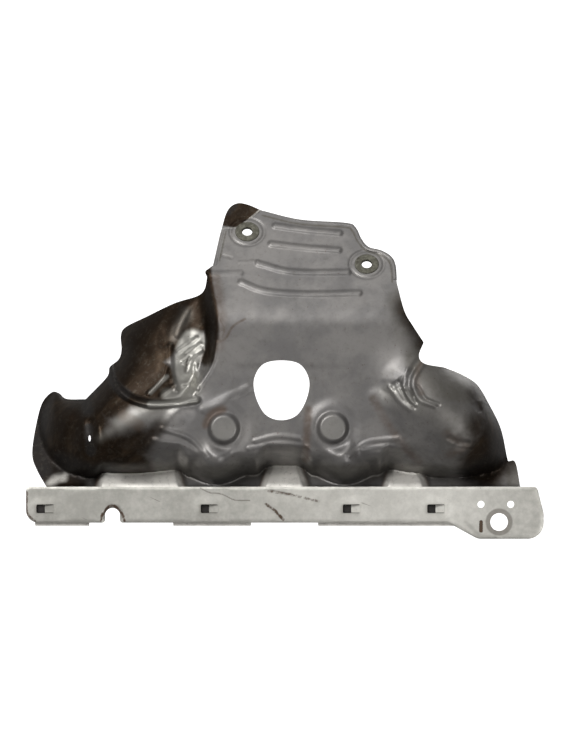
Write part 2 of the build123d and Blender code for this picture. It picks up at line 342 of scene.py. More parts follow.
@dataclass
class SheetMesh:
    """A sheet of even thickness over an outline, raised by a depth formula."""

    name: str
    outline: np.ndarray
    holes: list[np.ndarray]
    front: Callable[[Field, Field], Field]
    detail: Callable[[Field, Field], np.ndarray]
    thickness: float
    pitch: float
    fine_pitch: float
    sharp_angle: float = 50.0
    edge_room: float = 0.55

    def build(self, masks: Callable[[Field, Field], dict[Mask, Field]]) -> bpy.types.Object:
        """Makes the sheet as a closed mesh.

        Args:
            masks: Gives each mask's strength at front-view places, for stains and for painted light and
                shade.

        Returns:
            The new object, with one point attribute for each mask.
        """
        loops = [respaced(loop, self.fine_pitch) for loop in (self.outline, *self.holes)]
        flat, triangles = self._triangles(loops)
        u, v = flat.T
        front = np.stack([u, self.front(u, v), v], axis=-1)
        back = front - self._normals(front, triangles) * self.thickness
        count = len(front)
        faces = [*triangles.tolist(), *(triangles[:, ::-1] + count).tolist(), *self._walls(triangles, count)]
        points = np.vstack([front, back])
        mesh = bpy.data.meshes.new(self.name)
        mesh.from_pydata(to_frame(*points.T).tolist(), [], faces)
        mesh.shade_smooth()
        mesh.set_sharp_from_angle(angle=radians(self.sharp_angle))
        values = masks(u, v)
        values[Mask.INNER] = np.zeros(count)
        for mask, value in values.items():
            both = np.concatenate([value, np.ones(count) if mask is Mask.INNER else value])
            layer = mesh.attributes.new(mask.value, "FLOAT", "POINT")
            layer.data.foreach_set("value", both.astype(np.float32))
        return placed(self.name, mesh)

    def _lattice(self, loops: list[np.ndarray], pitch: float) -> np.ndarray:
        """Staggered points inside the outline that keep clear of its edges.

        Args:
            loops: The outer edge and then the holes.
            pitch: Distance between points.

        Returns:
            The points.
        """
        low, high = loops[0].min(0), loops[0].max(0)
        columns = np.arange(low[0], high[0], pitch)
        rows = np.arange(low[1], high[1], pitch * sin(pi / 3))
        shift = (np.arange(len(rows)) % 2)[:, None] * pitch / 2
        points = np.stack([(columns + shift).ravel(), np.repeat(rows, len(columns))], axis=-1)
        keep = inside(loops[0], *points.T)
        for hole in loops[1:]:
            keep &= ~inside(hole, *points.T)
        points = points[keep]
        return points[edge_distance(loops, *points.T) > pitch * self.edge_room]

    def _triangles(self, loops: list[np.ndarray]) -> tuple[np.ndarray, np.ndarray]:
        """Points and triangles of the flat outline, on a lattice that is finer where there is detail.

        Args:
            loops: The outer edge and then the holes.

        Returns:
            The points, and three of them for each triangle.
        """
        coarse = self._lattice(loops, self.pitch)
        fine = self._lattice(loops, self.fine_pitch)
        points = np.vstack([*loops, coarse[~self.detail(*coarse.T)], fine[self.detail(*fine.T)]])
        edges, start = [], 0
        for loop in loops:
            edges += [(start + i, start + (i + 1) % len(loop)) for i in range(len(loop))]
            start += len(loop)
        result = delaunay_2d_cdt([Vector(p) for p in points.tolist()], edges, [], 0, 1e-5, False)
        flat = np.array([tuple(vertex) for vertex in result[0]])
        triangles = np.array(result[2])
        middle = flat[triangles].mean(1)
        keep = inside(loops[0], *middle.T)
        for hole in loops[1:]:
            keep &= ~inside(hole, *middle.T)
        return flat, triangles[keep]

    @staticmethod
    def _normals(points: np.ndarray, triangles: np.ndarray) -> np.ndarray:
        """Unit normals of the front's points, towards the viewer.

        Args:
            points: Points of the front.
            triangles: Its triangles.

        Returns:
            One normal for each point.
        """
        first, second, third = (points[triangles[:, corner]] for corner in range(3))
        flat = np.cross(second - first, third - first)
        normals = np.zeros(points.shape)
        for corner in range(3):
            np.add.at(normals, triangles[:, corner], flat)
        length = np.linalg.norm(normals, axis=1, keepdims=True)
        return normals / np.where(length > 0, length, 1)

    @staticmethod
    def _walls(triangles: np.ndarray, count: int) -> list[tuple[int, ...]]:
        """Faces that close the sheet along its free edges.

        Args:
            triangles: The front's triangles.
            count: How many points the front has.

        Returns:
            Four points for each face.
        """
        sides = np.vstack([triangles[:, [0, 1]], triangles[:, [1, 2]], triangles[:, [2, 0]]])
        known = {(a, b) for a, b in sides.tolist()}
        return [(b, a, a + count, b + count) for a, b in known if (b, a) not in known]


class Value:
    """A shader socket that takes Python's operators, each of which adds a Math node."""

    def __init__(self, shader: "Shader", socket: bpy.types.NodeSocket) -> None:
        """Wraps a socket of a shader's tree."""
        self.shader = shader
        self.socket = socket

    def _math(self, operation: str, first: Any, second: Any = None) -> "Value":
        """A Math node on one or two values."""
        sockets = {0: first} if second is None else {0: first, 1: second}
        return self.shader.node("ShaderNodeMath", {"operation": operation}, sockets)

    def __add__(self, other: Any) -> "Value":
        """Sum of two values."""
        return self._math("ADD", self, other)

    def __radd__(self, other: Any) -> "Value":
        """Sum of two values."""
        return self._math("ADD", other, self)

    def __sub__(self, other: Any) -> "Value":
        """Difference of two values."""
        return self._math("SUBTRACT", self, other)

    def __rsub__(self, other: Any) -> "Value":
        """Difference of two values, the other way round."""
        return self._math("SUBTRACT", other, self)

    def __mul__(self, other: Any) -> "Value":
        """Product of two values."""
        return self._math("MULTIPLY", self, other)

    def __rmul__(self, other: Any) -> "Value":
        """Product of two values."""
        return self._math("MULTIPLY", other, self)

    def __truediv__(self, other: Any) -> "Value":
        """Quotient of two values."""
        return self._math("DIVIDE", self, other)

    def above(self, start: float, end: float) -> "Value":
        """A smooth change from 0 at start to 1 at end."""
        return self.shader.node("ShaderNodeMapRange", {"interpolation_type": "SMOOTHSTEP"},
                                {"Value": self, "From Min": start, "From Max": end})

    def above_linear(self, start: float, end: float) -> "Value":
        """A straight change from 0 at start to 1 at end."""
        return self.shader.node("ShaderNodeMapRange", {}, {"Value": self, "From Min": start, "From Max": end})


class Shader:
    """A material whose nodes are added one at a time."""

    def __init__(self, name: str) -> None:
        """Makes an empty material with its surface shader.

        Args:
            name: The material's name.
        """
        self.material = bpy.data.materials.new(name)
        self.material.use_nodes = True
        self.tree = self.material.node_tree
        self.tree.nodes.clear()
        self.surface = self.tree.nodes.new("ShaderNodeBsdfPrincipled")
        output = self.tree.nodes.new("ShaderNodeOutputMaterial")
        self.tree.links.new(self.surface.outputs[0], output.inputs["Surface"])
        self.places = self.node("ShaderNodeTexCoord", {}, {}, "Object")

    def node(self, kind: str, settings: dict[str, Any], sockets: dict[Any, Any], output: Any = 0) -> Value:
        """Adds a node.

        Args:
            kind: The node's type.
            settings: Its properties, set first.
            sockets: Values or links of its sockets, by name or number.
            output: Name or number of the output to return.

        Returns:
            The chosen output.
        """
        node = self.tree.nodes.new(kind)
        for key, setting in settings.items():
            setattr(node, key, setting)
        for key, value in sockets.items():
            self.put(node.inputs[key], value)
        return Value(self, node.outputs[output])

    def put(self, socket: bpy.types.NodeSocket, value: Any) -> None:
        """Links a value to a socket, or sets it there.

        Args:
            socket: The socket.
            value: A value, a number, a colour or a vector.
        """
        if isinstance(value, Value):
            self.tree.links.new(value.socket, socket)
        elif isinstance(value, tuple) and len(value) == 3 and socket.type == "RGBA":
            socket.default_value = (*value, 1.0)
        else:
            socket.default_value = value

    def set(self, **sockets: Any) -> None:
        """Sets or links sockets of the surface shader, with _ for a blank in a name."""
        for key, value in sockets.items():
            self.put(self.surface.inputs[key.replace("_", " ")], value)

    def mask(self, mask: Mask) -> Value:
        """A mask's strength on the piece, for a stain and for painted light and shade alike."""
        return self.node("ShaderNodeAttribute", {"attribute_name": mask.value}, {}, "Fac")

    def noise(self, size: float, detail: float = 4.0, rough: float = 0.55, warp: float = 0.0,
              places: Value | None = None) -> Value:
        """Noise with lumps of about the given size in millimetres.

        Args:
            size: Size of the lumps.
            detail: How many finer layers it has.
            rough: Strength of each finer layer.
            warp: How far it is distorted.
            places: Where it is read, if not at the piece's own places.

        Returns:
            The noise, from 0 to 1.
        """
        return self.node("ShaderNodeTexNoise", {},
                         {"Vector": places or self.places, "Scale": 1 / (size * MM), "Detail": detail,
                          "Roughness": rough, "Distortion": warp})

    def stretched(self, scale: Point, turn: Point) -> Value:
        """The piece's places, turned by angles in degrees and then stretched.

        Args:
            scale: Stretch along each axis.
            turn: Angles about the axes.

        Returns:
            The new places.
        """
        angles = tuple(radians(angle) for angle in turn)
        places = self.node("ShaderNodeMapping", {"vector_type": "TEXTURE"},
                           {"Vector": self.places, "Rotation": angles})
        return self.node("ShaderNodeVectorMath", {"operation": "MULTIPLY"}, {0: places, 1: scale})

    def mix(self, first: Any, second: Any, share: Any) -> Value:
        """One colour turning into another as the share goes from 0 to 1."""
        return self.node("ShaderNodeMix", {"data_type": "RGBA"}, {0: share, 6: first, 7: second}, 2)

    def bump(self, height: Value, distance: float, strength: float) -> Value:
        """Fine relief of a height in millimetres."""
        return self.node("ShaderNodeBump", {},
                         {"Height": height, "Distance": distance * MM, "Strength": strength})


@dataclass(frozen=True)
class SheetFinish:
    """Aluminised sheet, burnt brown where the exhaust was hottest and rusty in its folds, with painted
    highlights, sheen and shade.
    """

    clean: Colour = (0.196, 0.188, 0.180)
    cool: Colour = (0.146, 0.141, 0.138)
    burnt: Colour = (0.017, 0.0105, 0.006)
    # Colour of the painted sheen streaks on the burnt brown.
    sheen: Colour = (0.052, 0.035, 0.021)
    char_and_shade: Colour = (0.009, 0.007, 0.006)
    rust: Colour = (0.070, 0.041, 0.025)
    silver_and_highlight: Colour = (0.295, 0.288, 0.262)
    pale: Colour = (0.74, 0.718, 0.668)
    soot_and_shade: Colour = (0.088, 0.081, 0.066)
    inner: Colour = (0.10, 0.078, 0.060)

    def material(self) -> bpy.types.Material:
        """Makes the sheet's material.

        Returns:
            The new material.
        """
        shader = Shader("aluminised_sheet_burnt")
        cloud = shader.noise(22, 5, 0.6)
        mottle = shader.noise(5.5, 4, 0.6, 0.3)
        grain = shader.noise(0.9, 2, 0.6)
        streak = shader.noise(9, 4, 0.6, 0.4, shader.stretched((1.0, 1.0, 0.22), (0.0, 42.0, 0.0)))
        edge = (cloud * 0.55 + mottle * 0.45 - 0.5) * 1.3
        burn_and_shade = self._worn(shader.mask(Mask.BURN), edge * 0.6, 0.04, 0.70)
        char_and_shade = self._worn(shader.mask(Mask.CHAR_AND_SHADE), edge, 0.10, 0.95)
        rust = self._worn(shader.mask(Mask.RUST), edge * 1.3, 0.15, 1.0)
        silver_and_highlight = self._worn(shader.mask(Mask.SILVER_AND_HIGHLIGHT), edge * 0.35, 0.08, 0.95)
        pale = self._worn(shader.mask(Mask.PALE_AND_PAINTED_LIGHT), edge, 0.15, 0.95)
        soot_and_shade = self._worn(shader.mask(Mask.SOOT_AND_SHADE), edge, 0.05, 1.1)
        colour = shader.mix(self.clean, self.cool, cloud.above(0.36, 0.66))
        # Sooty colour, and painted shade along the hems and under the body.
        colour = shader.mix(colour, self.soot_and_shade, soot_and_shade * 0.85)
        # Painted sheen: pale streaks across the burnt brown stand in for reflections.
        burnt_with_painted_sheen = shader.mix(self.burnt, self.sheen, streak.above(0.46, 0.78) * 0.75)
        # Burnt brown, which also carries painted shade in the valley beside the left cover and along the
        # wing's step.
        colour = shader.mix(colour, burnt_with_painted_sheen, burn_and_shade)
        # Charred black, which also carries painted shade behind the clinch windows and along the wing's step.
        colour = shader.mix(colour, self.char_and_shade, char_and_shade * 0.92)
        colour = shader.mix(colour, self.rust, rust * 0.8)
        # Silver of the crumpled metal, and painted highlights.
        colour = shader.mix(colour, self.silver_and_highlight, silver_and_highlight * 0.9)
        # Pale metal at the torn corners, and painted light on the saddles and tabs.
        colour = shader.mix(colour, self.pale, pale * 0.85)
        specks = shader.noise(2.2, 2, 0.5).above(0.70, 0.74)
        colour = shader.mix(colour, self.rust, specks * 0.4)
        grime = shader.noise(3.2, 6, 0.72, 0.5).above(0.48, 0.80) * 0.45
        colour = shader.mix(colour, self.soot_and_shade, grime * (1 - silver_and_highlight))
        colour = shader.mix(colour, self.inner, shader.mask(Mask.INNER) * (0.55 + cloud * 0.4))
        dull = (char_and_shade + rust).above_linear(0, 1)
        rough = 0.42 + mottle * 0.12 + dull * 0.10 - silver_and_highlight * 0.05 + soot_and_shade * 0.06
        relief = grain * 0.25 + mottle * 0.6
        metal = 0.80 + burn_and_shade * 0.15 - dull * 0.30 - soot_and_shade * 0.10
        shader.set(Base_Color=colour, Roughness=rough, Metallic=metal,
                   Coat_Weight=burn_and_shade * 0.05, Coat_Roughness=0.34, Normal=shader.bump(relief, 0.12, 0.45))
        return shader.material

    @staticmethod
    def _worn(mask: Value, edge: Value, start: float, end: float) -> Value:
        """A mask with an uneven edge."""
        return (mask + edge * mask).above(start, end)


@dataclass(frozen=True)
class RailFinish:
    """Plain steel plate with a dull zinc coat, scratches and brown marks, painted light along its length and
    painted shade round its windows and slot.
    """

    clean: Colour = (0.74, 0.725, 0.675)
    dull: Colour = (0.32, 0.313, 0.284)
    scratch_and_shade: Colour = (0.10, 0.082, 0.066)
    rust: Colour = (0.072, 0.045, 0.029)
    print_radius: float = 9.2
    painted_light_span: Point = (-215.0, -50.0)
    painted_shade_span: Point = (-50.0, 30.0)

    def material(self) -> bpy.types.Material:
        """Makes the rail's material.

        Returns:
            The new material.
        """
        shader = Shader("rail_steel_worn")
        cloud = shader.noise(30, 4, 0.6)
        mottle = shader.noise(4, 4, 0.65)
        grain = shader.noise(0.8, 2, 0.7)
        across = shader.node("ShaderNodeSeparateXYZ", {}, {0: shader.places}) / MM
        # Painted light: the rail is lighter right of its middle and darker towards its ends.
        light = across.above(*self.painted_light_span) * (1 - across.above(*self.painted_shade_span) * 0.8)
        dull_and_painted_shade = (cloud * 0.6 + mottle * 0.4).above(0.30, 0.66) * 0.35 + (1 - light) * 0.42
        colour = shader.mix(self.clean, self.dull, dull_and_painted_shade + mottle * 0.15)
        rust = (shader.mask(Mask.RUST) * (0.35 + shader.noise(2.4, 4, 0.7) * 1.3)).above(0.45, 0.75)
        soot_and_shade = shader.mask(Mask.SOOT_AND_SHADE)
        # Scribed lines, and painted shade round the clinch windows and the stud slot.
        colour = shader.mix(colour, self.dull, soot_and_shade * 0.5)
        colour = shader.mix(colour, self.scratch_and_shade, soot_and_shade.above(0.3, 1.0) * 0.75)
        streaks = shader.noise(3.2, 3, 0.5, 0.6, shader.stretched((0.10, 1.0, 1.0), (0.0, 24.0, 0.0)))
        fine = streaks.above(0.69, 0.73) * shader.noise(24, 2, 0.5).above(0.50, 0.62)
        colour = shader.mix(colour, self.scratch_and_shade, fine * 0.5)
        colour = shader.mix(colour, self.rust, rust)
        specks = shader.noise(1.5, 2, 0.5).above(0.72, 0.76)
        colour = shader.mix(colour, self.scratch_and_shade, specks * 0.5)
        colour = shader.mix(colour, self.scratch_and_shade, self._washer_print(shader) * 0.55)
        colour = shader.mix(colour, self.dull, shader.mask(Mask.INNER) * 0.7)
        shader.set(Base_Color=colour, Roughness=0.42 + mottle * 0.14 + rust * 0.2,
                   Metallic=0.85 - rust * 0.5, Normal=shader.bump(grain * 0.3 + mottle * 0.5, 0.08, 0.4))
        return shader.material

    def _washer_print(self, shader: Shader) -> Value:
        """The ring that a washer has left around the bolt hole.

        Args:
            shader: The rail's shader.

        Returns:
            1 on the ring and 0 off it.
        """
        flat = shader.node("ShaderNodeVectorMath", {"operation": "MULTIPLY"},
                           {0: shader.places, 1: (1.0, 0.0, 1.0)})
        away = shader.node("ShaderNodeVectorMath", {"operation": "LENGTH"}, {0: flat}, "Value") / MM
        return 1 - away.above(self.print_radius - 0.6, self.print_radius + 0.6)


@dataclass(frozen=True)
class EyeletFinish:
    """Olive-grey steel of the rolled eyelets, with dark patches."""

    clean: Colour = (0.075, 0.072, 0.056)
    worn: Colour = (0.150, 0.146, 0.118)
    dark: Colour = (0.035, 0.030, 0.022)

    def material(self) -> bpy.types.Material:
        """Makes the eyelets' material.

        Returns:
            The new material.
        """
        shader = Shader("eyelet_steel_olive")
        mottle = shader.noise(2.6, 4, 0.65)
        colour = shader.mix(self.clean, self.worn, mottle.above(0.42, 0.70))
        colour = shader.mix(colour, self.dark, shader.noise(4.5, 3, 0.6).above(0.58, 0.72) * 0.7)
        shader.set(Base_Color=colour, Roughness=0.44 + mottle * 0.16, Metallic=0.75,
                   Normal=shader.bump(shader.noise(0.9, 3, 0.6), 0.06, 0.5))
        return shader.material


@dataclass
class ShieldPressing:
    """The pressed sheet, from its flange over the runner bulges, covers and body to the leaning neck."""

    sheet: float = 0.8
    seat_gap: float = 0.9
    pitch: float = 1.7
    fine_pitch: float = 0.85
    rail_top: float = 24.0
    body_depth: float = 16.0
    body_foot: float = 45.0
    underside_slope: float = 2.2
    underside_round: float = 4.0
    left_step: Point = (1.8, 3.0)
    right_shoulder: Point = (0.8, 12.0)
    cover_arch: Point = (2.2, 74.0)
    cover_feet: Point = (33.0, 36.0)
    cover_fillets: Point = (2.5, 9.0, 5.0)
    runner_arch: Point = (2.2, 15.0)
    runner_start: Point = (22.0, 10.0)
    runner_foot: float = 38.5
    runner_crest: float = 22.0
    runner_fillet: float = 4.0
    neck_lean: float = 36.0
    neck_foot: float = 142.0
    neck_bend: float = 9.0
    neck_flat: float = 166.0
    deepest: float = -42.0
    deepest_fillet: float = 6.0
    saddle_arch: float = 6.0
    saddle_flare: Point = (0.35, 4.0)
    saddle_edge: Point = (-3.0, 5.0)
    ledge_slope: float = 0.8
    ledge_round: float = 3.0
    ledge_fillet: float = 2.0
    pocket_depth: float = 6.0
    pocket_span: Point = (15.0, 27.0)
    wing_drop: float = 3.0
    wing_edge: Point = (-1.0, 4.0)
    rim_size: Point = (3.4, 3.0)
    tear_step: float = 0.7
    tear_wander: float = 1.4
    runner_pitch: float = 86.4
    roll_reach: float = 15.0
    boss_radius: float = 9.2
    boss_rise: float = 3.8
    boss_seat: float = 18.2
    boss_seat_span: Point = (13.0, 20.0)
    boss_wall: Point = (-1.4, 2.6)
    window_plate: float = 0.4
    bosses: Sequence[Point] = ((-38.4, 63.9), (35.4, 64.3))
    eyelets: Sequence[Point] = ((-22.8, 197.9), (58.8, 175.4))
    eyelet_hole: float = 8.6
    seat_groove: Point = (11.6, 1.0, 0.8)
    neck_beads: int = 4
    bead_width: float = 2.8
    bead_rise: float = 1.5
    body_bead_width: float = 2.4
    body_bead_rise: float = 0.75
    dent_share: float = 0.65
    highlight_clearing: float = 0.9
    saddle_rust: float = 3.4
    tab_painted_light: float = 0.7
    saddles: Sequence[Point] = ((-122.0, -69.0), (-10.0, 15.5), (73.0, 97.0))
    tabs: Sequence[Point] = ((-167.0, -130.0), (-73.0, -20.0), (25.5, 120.0))
    tab_low: float = -2.7
    strip_low: float = 15.5
    dent_hole: Point = (-129.6, 57.0, 0.9, 2.3)
    hem_size: Point = (3.2, 1.7)
    hem_ends: Point = (199.0, 164.0)
    hem_inset: float = 0.45

    FREE_EDGES = (
        ((-158.8, 23.0), (-166.3, 35.4), (-170.0, 46.0), (-168.3, 63.9), (-164.2, 80.2), (-157.4, 88.0),
         (-152.0, 87.4), (-146.5, 83.6), (-133.1, 83.4)),
        ((-133.1, 83.4), (-118.5, 98.5), (-116.6, 105.4), (-110.5, 110.8), (-108.8, 117.6), (-109.5, 126.7),
         (-106.4, 132.6), (-92.1, 139.6), (-72.4, 148.9), (-56.8, 153.7), (-51.7, 158.4), (-50.0, 166.6)),
        ((-50.0, 166.6), (-51.3, 170.3), (-48.6, 172.7), (-45.9, 174.8)),
        ((-45.9, 174.8), (-40.5, 199.6), (-36.4, 212.8), (-30.3, 217.8), (-22.8, 217.1), (-12.6, 212.8)),
        ((-12.6, 212.8), (13.3, 206.6), (44.5, 204.3), (51.3, 201.3), (55.4, 193.1), (60.2, 187.5),
         (69.0, 185.0), (75.8, 180.6), (78.5, 174.1), (79.1, 162.5)),
        ((79.1, 162.5), (84.0, 143.5), (90.1, 132.8), (97.2, 122.1)),
        ((97.2, 122.1), (93.8, 113.1), (97.6, 107.7), (111.2, 105.1)),
        ((111.2, 105.1), (123.4, 100.2), (134.0, 93.3), (142.5, 79.6), (150.6, 63.0), (155.6, 41.0)),
        ((155.6, 41.0), (160.6, 40.1), (163.5, 23.0)),
    )
    WINDOW_U = 0.7
    WINDOW_HALF = ((0.0, 109.8), (12.4, 107.2), (18.6, 97.0), (17.2, 84.5), (10.6, 73.0), (0.0, 69.4))
    BODY_LEFT = Line(((-52.0, 190.0), (-48.6, 161.2), (-43.9, 137.4), (-43.2, 120.4), (-47.9, 104.7),
                      (-57.5, 91.1), (-75.1, 70.7), (-92.1, 47.6), (-105.7, 28.6), (-109.1, 10.0)))
    BODY_RIGHT = Line(((104.0, 190.0), (95.0, 165.0), (86.0, 145.0), (90.5, 129.0), (94.2, 115.6),
                       (88.1, 102.0), (89.4, 83.0), (101.7, 55.8), (111.9, 35.4), (115.3, 10.0)))
    LEFT_CREST = Line(((-153.3, 31.3, -24.0), (-143.1, 38.1, -8.0), (-126.1, 49.0, 9.0), (-103.7, 63.9, 18.0),
                       (-86.0, 81.6, 18.0), (-73.8, 102.0, 12.0), (-64.3, 125.1, 5.0), (-56.8, 147.6, 0.0),
                       (-50.7, 172.7, -7.0)))
    RIGHT_CREST = Line(((141.0, 30.0, -10.0), (131.6, 43.5, 10.0), (120.7, 59.8, 22.0), (107.1, 76.2, 27.0),
                        (91.5, 91.1, 25.0), (79.2, 104.7, 18.0), (67.7, 120.4, 9.0)))
    LEFT_ROLL = Line(((-158.8, 10.0, 0.0), (-166.3, 35.4, 7.0), (-170.0, 46.0, 12.0), (-168.3, 63.9, 14.0),
                      (-164.2, 80.2, 14.0), (-154.5, 88.0, 14.0), (-146.5, 83.6, 14.0), (-133.1, 83.4, 13.0),
                      (-118.5, 98.5, 11.0), (-109.0, 115.0, 10.0), (-106.4, 132.6, 8.0), (-72.4, 148.9, 5.0),
                      (-51.7, 158.4, 1.0), (-45.9, 180.0, 0.0), (-40.0, 230.0, 0.0)))
    RIGHT_ROLL = Line(((88.0, 150.0, 0.0), (97.2, 116.0, 3.0), (111.2, 105.1, 10.0), (123.4, 100.2, 15.0),
                       (134.0, 93.3, 18.0), (142.5, 79.6, 20.0), (150.6, 63.0, 20.0), (155.6, 44.0, 14.0),
                       (160.0, 30.0, 0.0), (163.5, 5.0, 0.0)))
    RIM = Line(((-116.6, 106.1), (-112.5, 94.5), (-103.0, 85.0), (-87.4, 80.2), (-71.7, 80.9), (-56.8, 83.0)))
    BEADS = (
        Line(((-3.7, 202.3), (18.7, 199.2), (40.5, 197.2))),
        Line(((-6.5, 189.7), (16.7, 187.0), (39.8, 185.3))),
        Line(((-15.3, 176.1), (8.5, 170.3), (45.9, 170.0))),
        Line(((-26.9, 163.2), (-9.9, 157.1), (18.0, 155.0), (53.4, 155.7))),
        Line(((-17.3, 55.1), (-2.4, 58.7), (13.3, 57.1))),
        Line(((-21.4, 50.3), (-3.1, 53.0), (18.0, 51.0))),
        Line(((-79.9, 63.5), (-61.5, 57.1), (-50.0, 44.2))),
        Line(((-86.0, 56.1), (-63.6, 51.7), (-51.3, 42.4))),
        Line(((46.6, 45.2), (58.8, 54.4), (79.9, 57.1))),
        Line(((55.4, 49.6), (71.1, 51.7), (86.0, 49.0))),
    )
    TORN_LINE = Line(((-44.0, 199.0), (-36.5, 200.6), (-29.6, 201.3), (-19.4, 208.8), (-12.0, 215.5)))
    CRUMPLES = strokes(
        Mask.SILVER_AND_HIGHLIGHT,
        (15, 1, 0, (-58, 124), (-62, 108), (-63, 92)),
        (17, 1, 0, (78, 92), (90, 82)),
        (9, 1, 0, (116, 55), (124, 52)),
    )
    CRUMPLED = (
        (Line(((-58.0, 124.0), (-63.0, 92.0))), 11.0),
        (Line(((78.0, 92.0), (90.0, 82.0))), 12.0),
        (Line(((116.0, 55.0), (124.0, 52.0))), 8.0),
    )
    DENTS = ridges(
        (2.6, 1.3, (-52, 170.5), (-44, 169), (-27, 169.6)),
        (2.4, 1.7, (-44, 122), (-45.4, 109), (-52, 97), (-58.5, 87)),
        (2.2, -1.6, (-47, 128), (-48.8, 112), (-55, 98)),
        (1.9, -1.2, (-69.8, 115.6), (-56.6, 125.2)),
        (1.8, 1.1, (-66.4, 108.9), (-53.2, 117)),
        (1.5, -1, (-63.8, 114), (-54, 121)),
        (1.6, -1.1, (-64, 102.8), (-61.5, 112.2)),
        (2.6, 1.5, (-74.8, 120), (-73.6, 102), (-70.6, 90)),
        (2, 1.4, (-57.2, 107), (-56.4, 91)),
        (1.6, 1, (-66, 92.6), (-59.2, 94)),
        (2, 1.4, (-89.8, 87), (-79, 97.8), (-76.6, 106)),
        (1.9, -1.2, (-81, 86), (-72, 93)),
        (4, 0.8, (-51.3, 76.8), (-36, 84.5), (-22.1, 91.1)),
        (5, -2.6, (-128.5, 67), (-127.6, 56), (-129, 47)),
        (2.4, 1, (-124, 64), (-123, 55), (-125, 47)),
        (17, 4, (-72, 80), (-98, 69), (-122, 54)),
        (19, 3, (86, 94), (108, 75), (126, 50)),
        (6, -2, (-133.6, 82), (-140, 66), (-146, 46), (-151, 37)),
        (3, -1.4, (94.9, 111.5), (85, 99), (76, 92)),
        (2.2, 1.5, (97, 108), (90, 96), (93, 84), (104, 79)),
        (1.9, 1.4, (86, 104), (83, 92), (88.5, 82)),
        (1.8, -1.3, (80, 95), (84.5, 85), (91, 78)),
        (2.2, 1.3, (74, 92), (79, 84), (87, 76.5)),
        (1.4, -1.2, (88, 90), (92, 81.5)),
        (6, 0.7, (64, 86), (72, 81), (80, 78)),
        (1.6, -1.3, (90, 104), (86.5, 94), (90, 86)),
        (1.8, -1.2, (93, 92), (98, 84), (107, 80)),
        (1.3, 1.2, (84, 90), (86, 84), (91, 79.5)),
        (3, -3, (133, 79.6), (134.4, 76.6)),
        (1.6, 0.9, (130, 81), (137, 82)),
        (2.6, -1.4, (114, 57.5), (120, 54.6), (127, 54)),
        (3, -1, (119, 51.8), (123, 50.6)),
        (1.6, -0.8, (-39.8, 181.6), (-33.5, 179.8)),
        (1.5, 0.7, (-28, 176.8), (-15.3, 177.6)),
        (9, 1.6, (-100, 140), (-84, 120), (-80, 104)),
        (5, -1.4, (-70, 148), (-78, 134), (-80, 122)),
        (4, 1.3, (-60, 150), (-66, 140), (-70, 128)),
    )
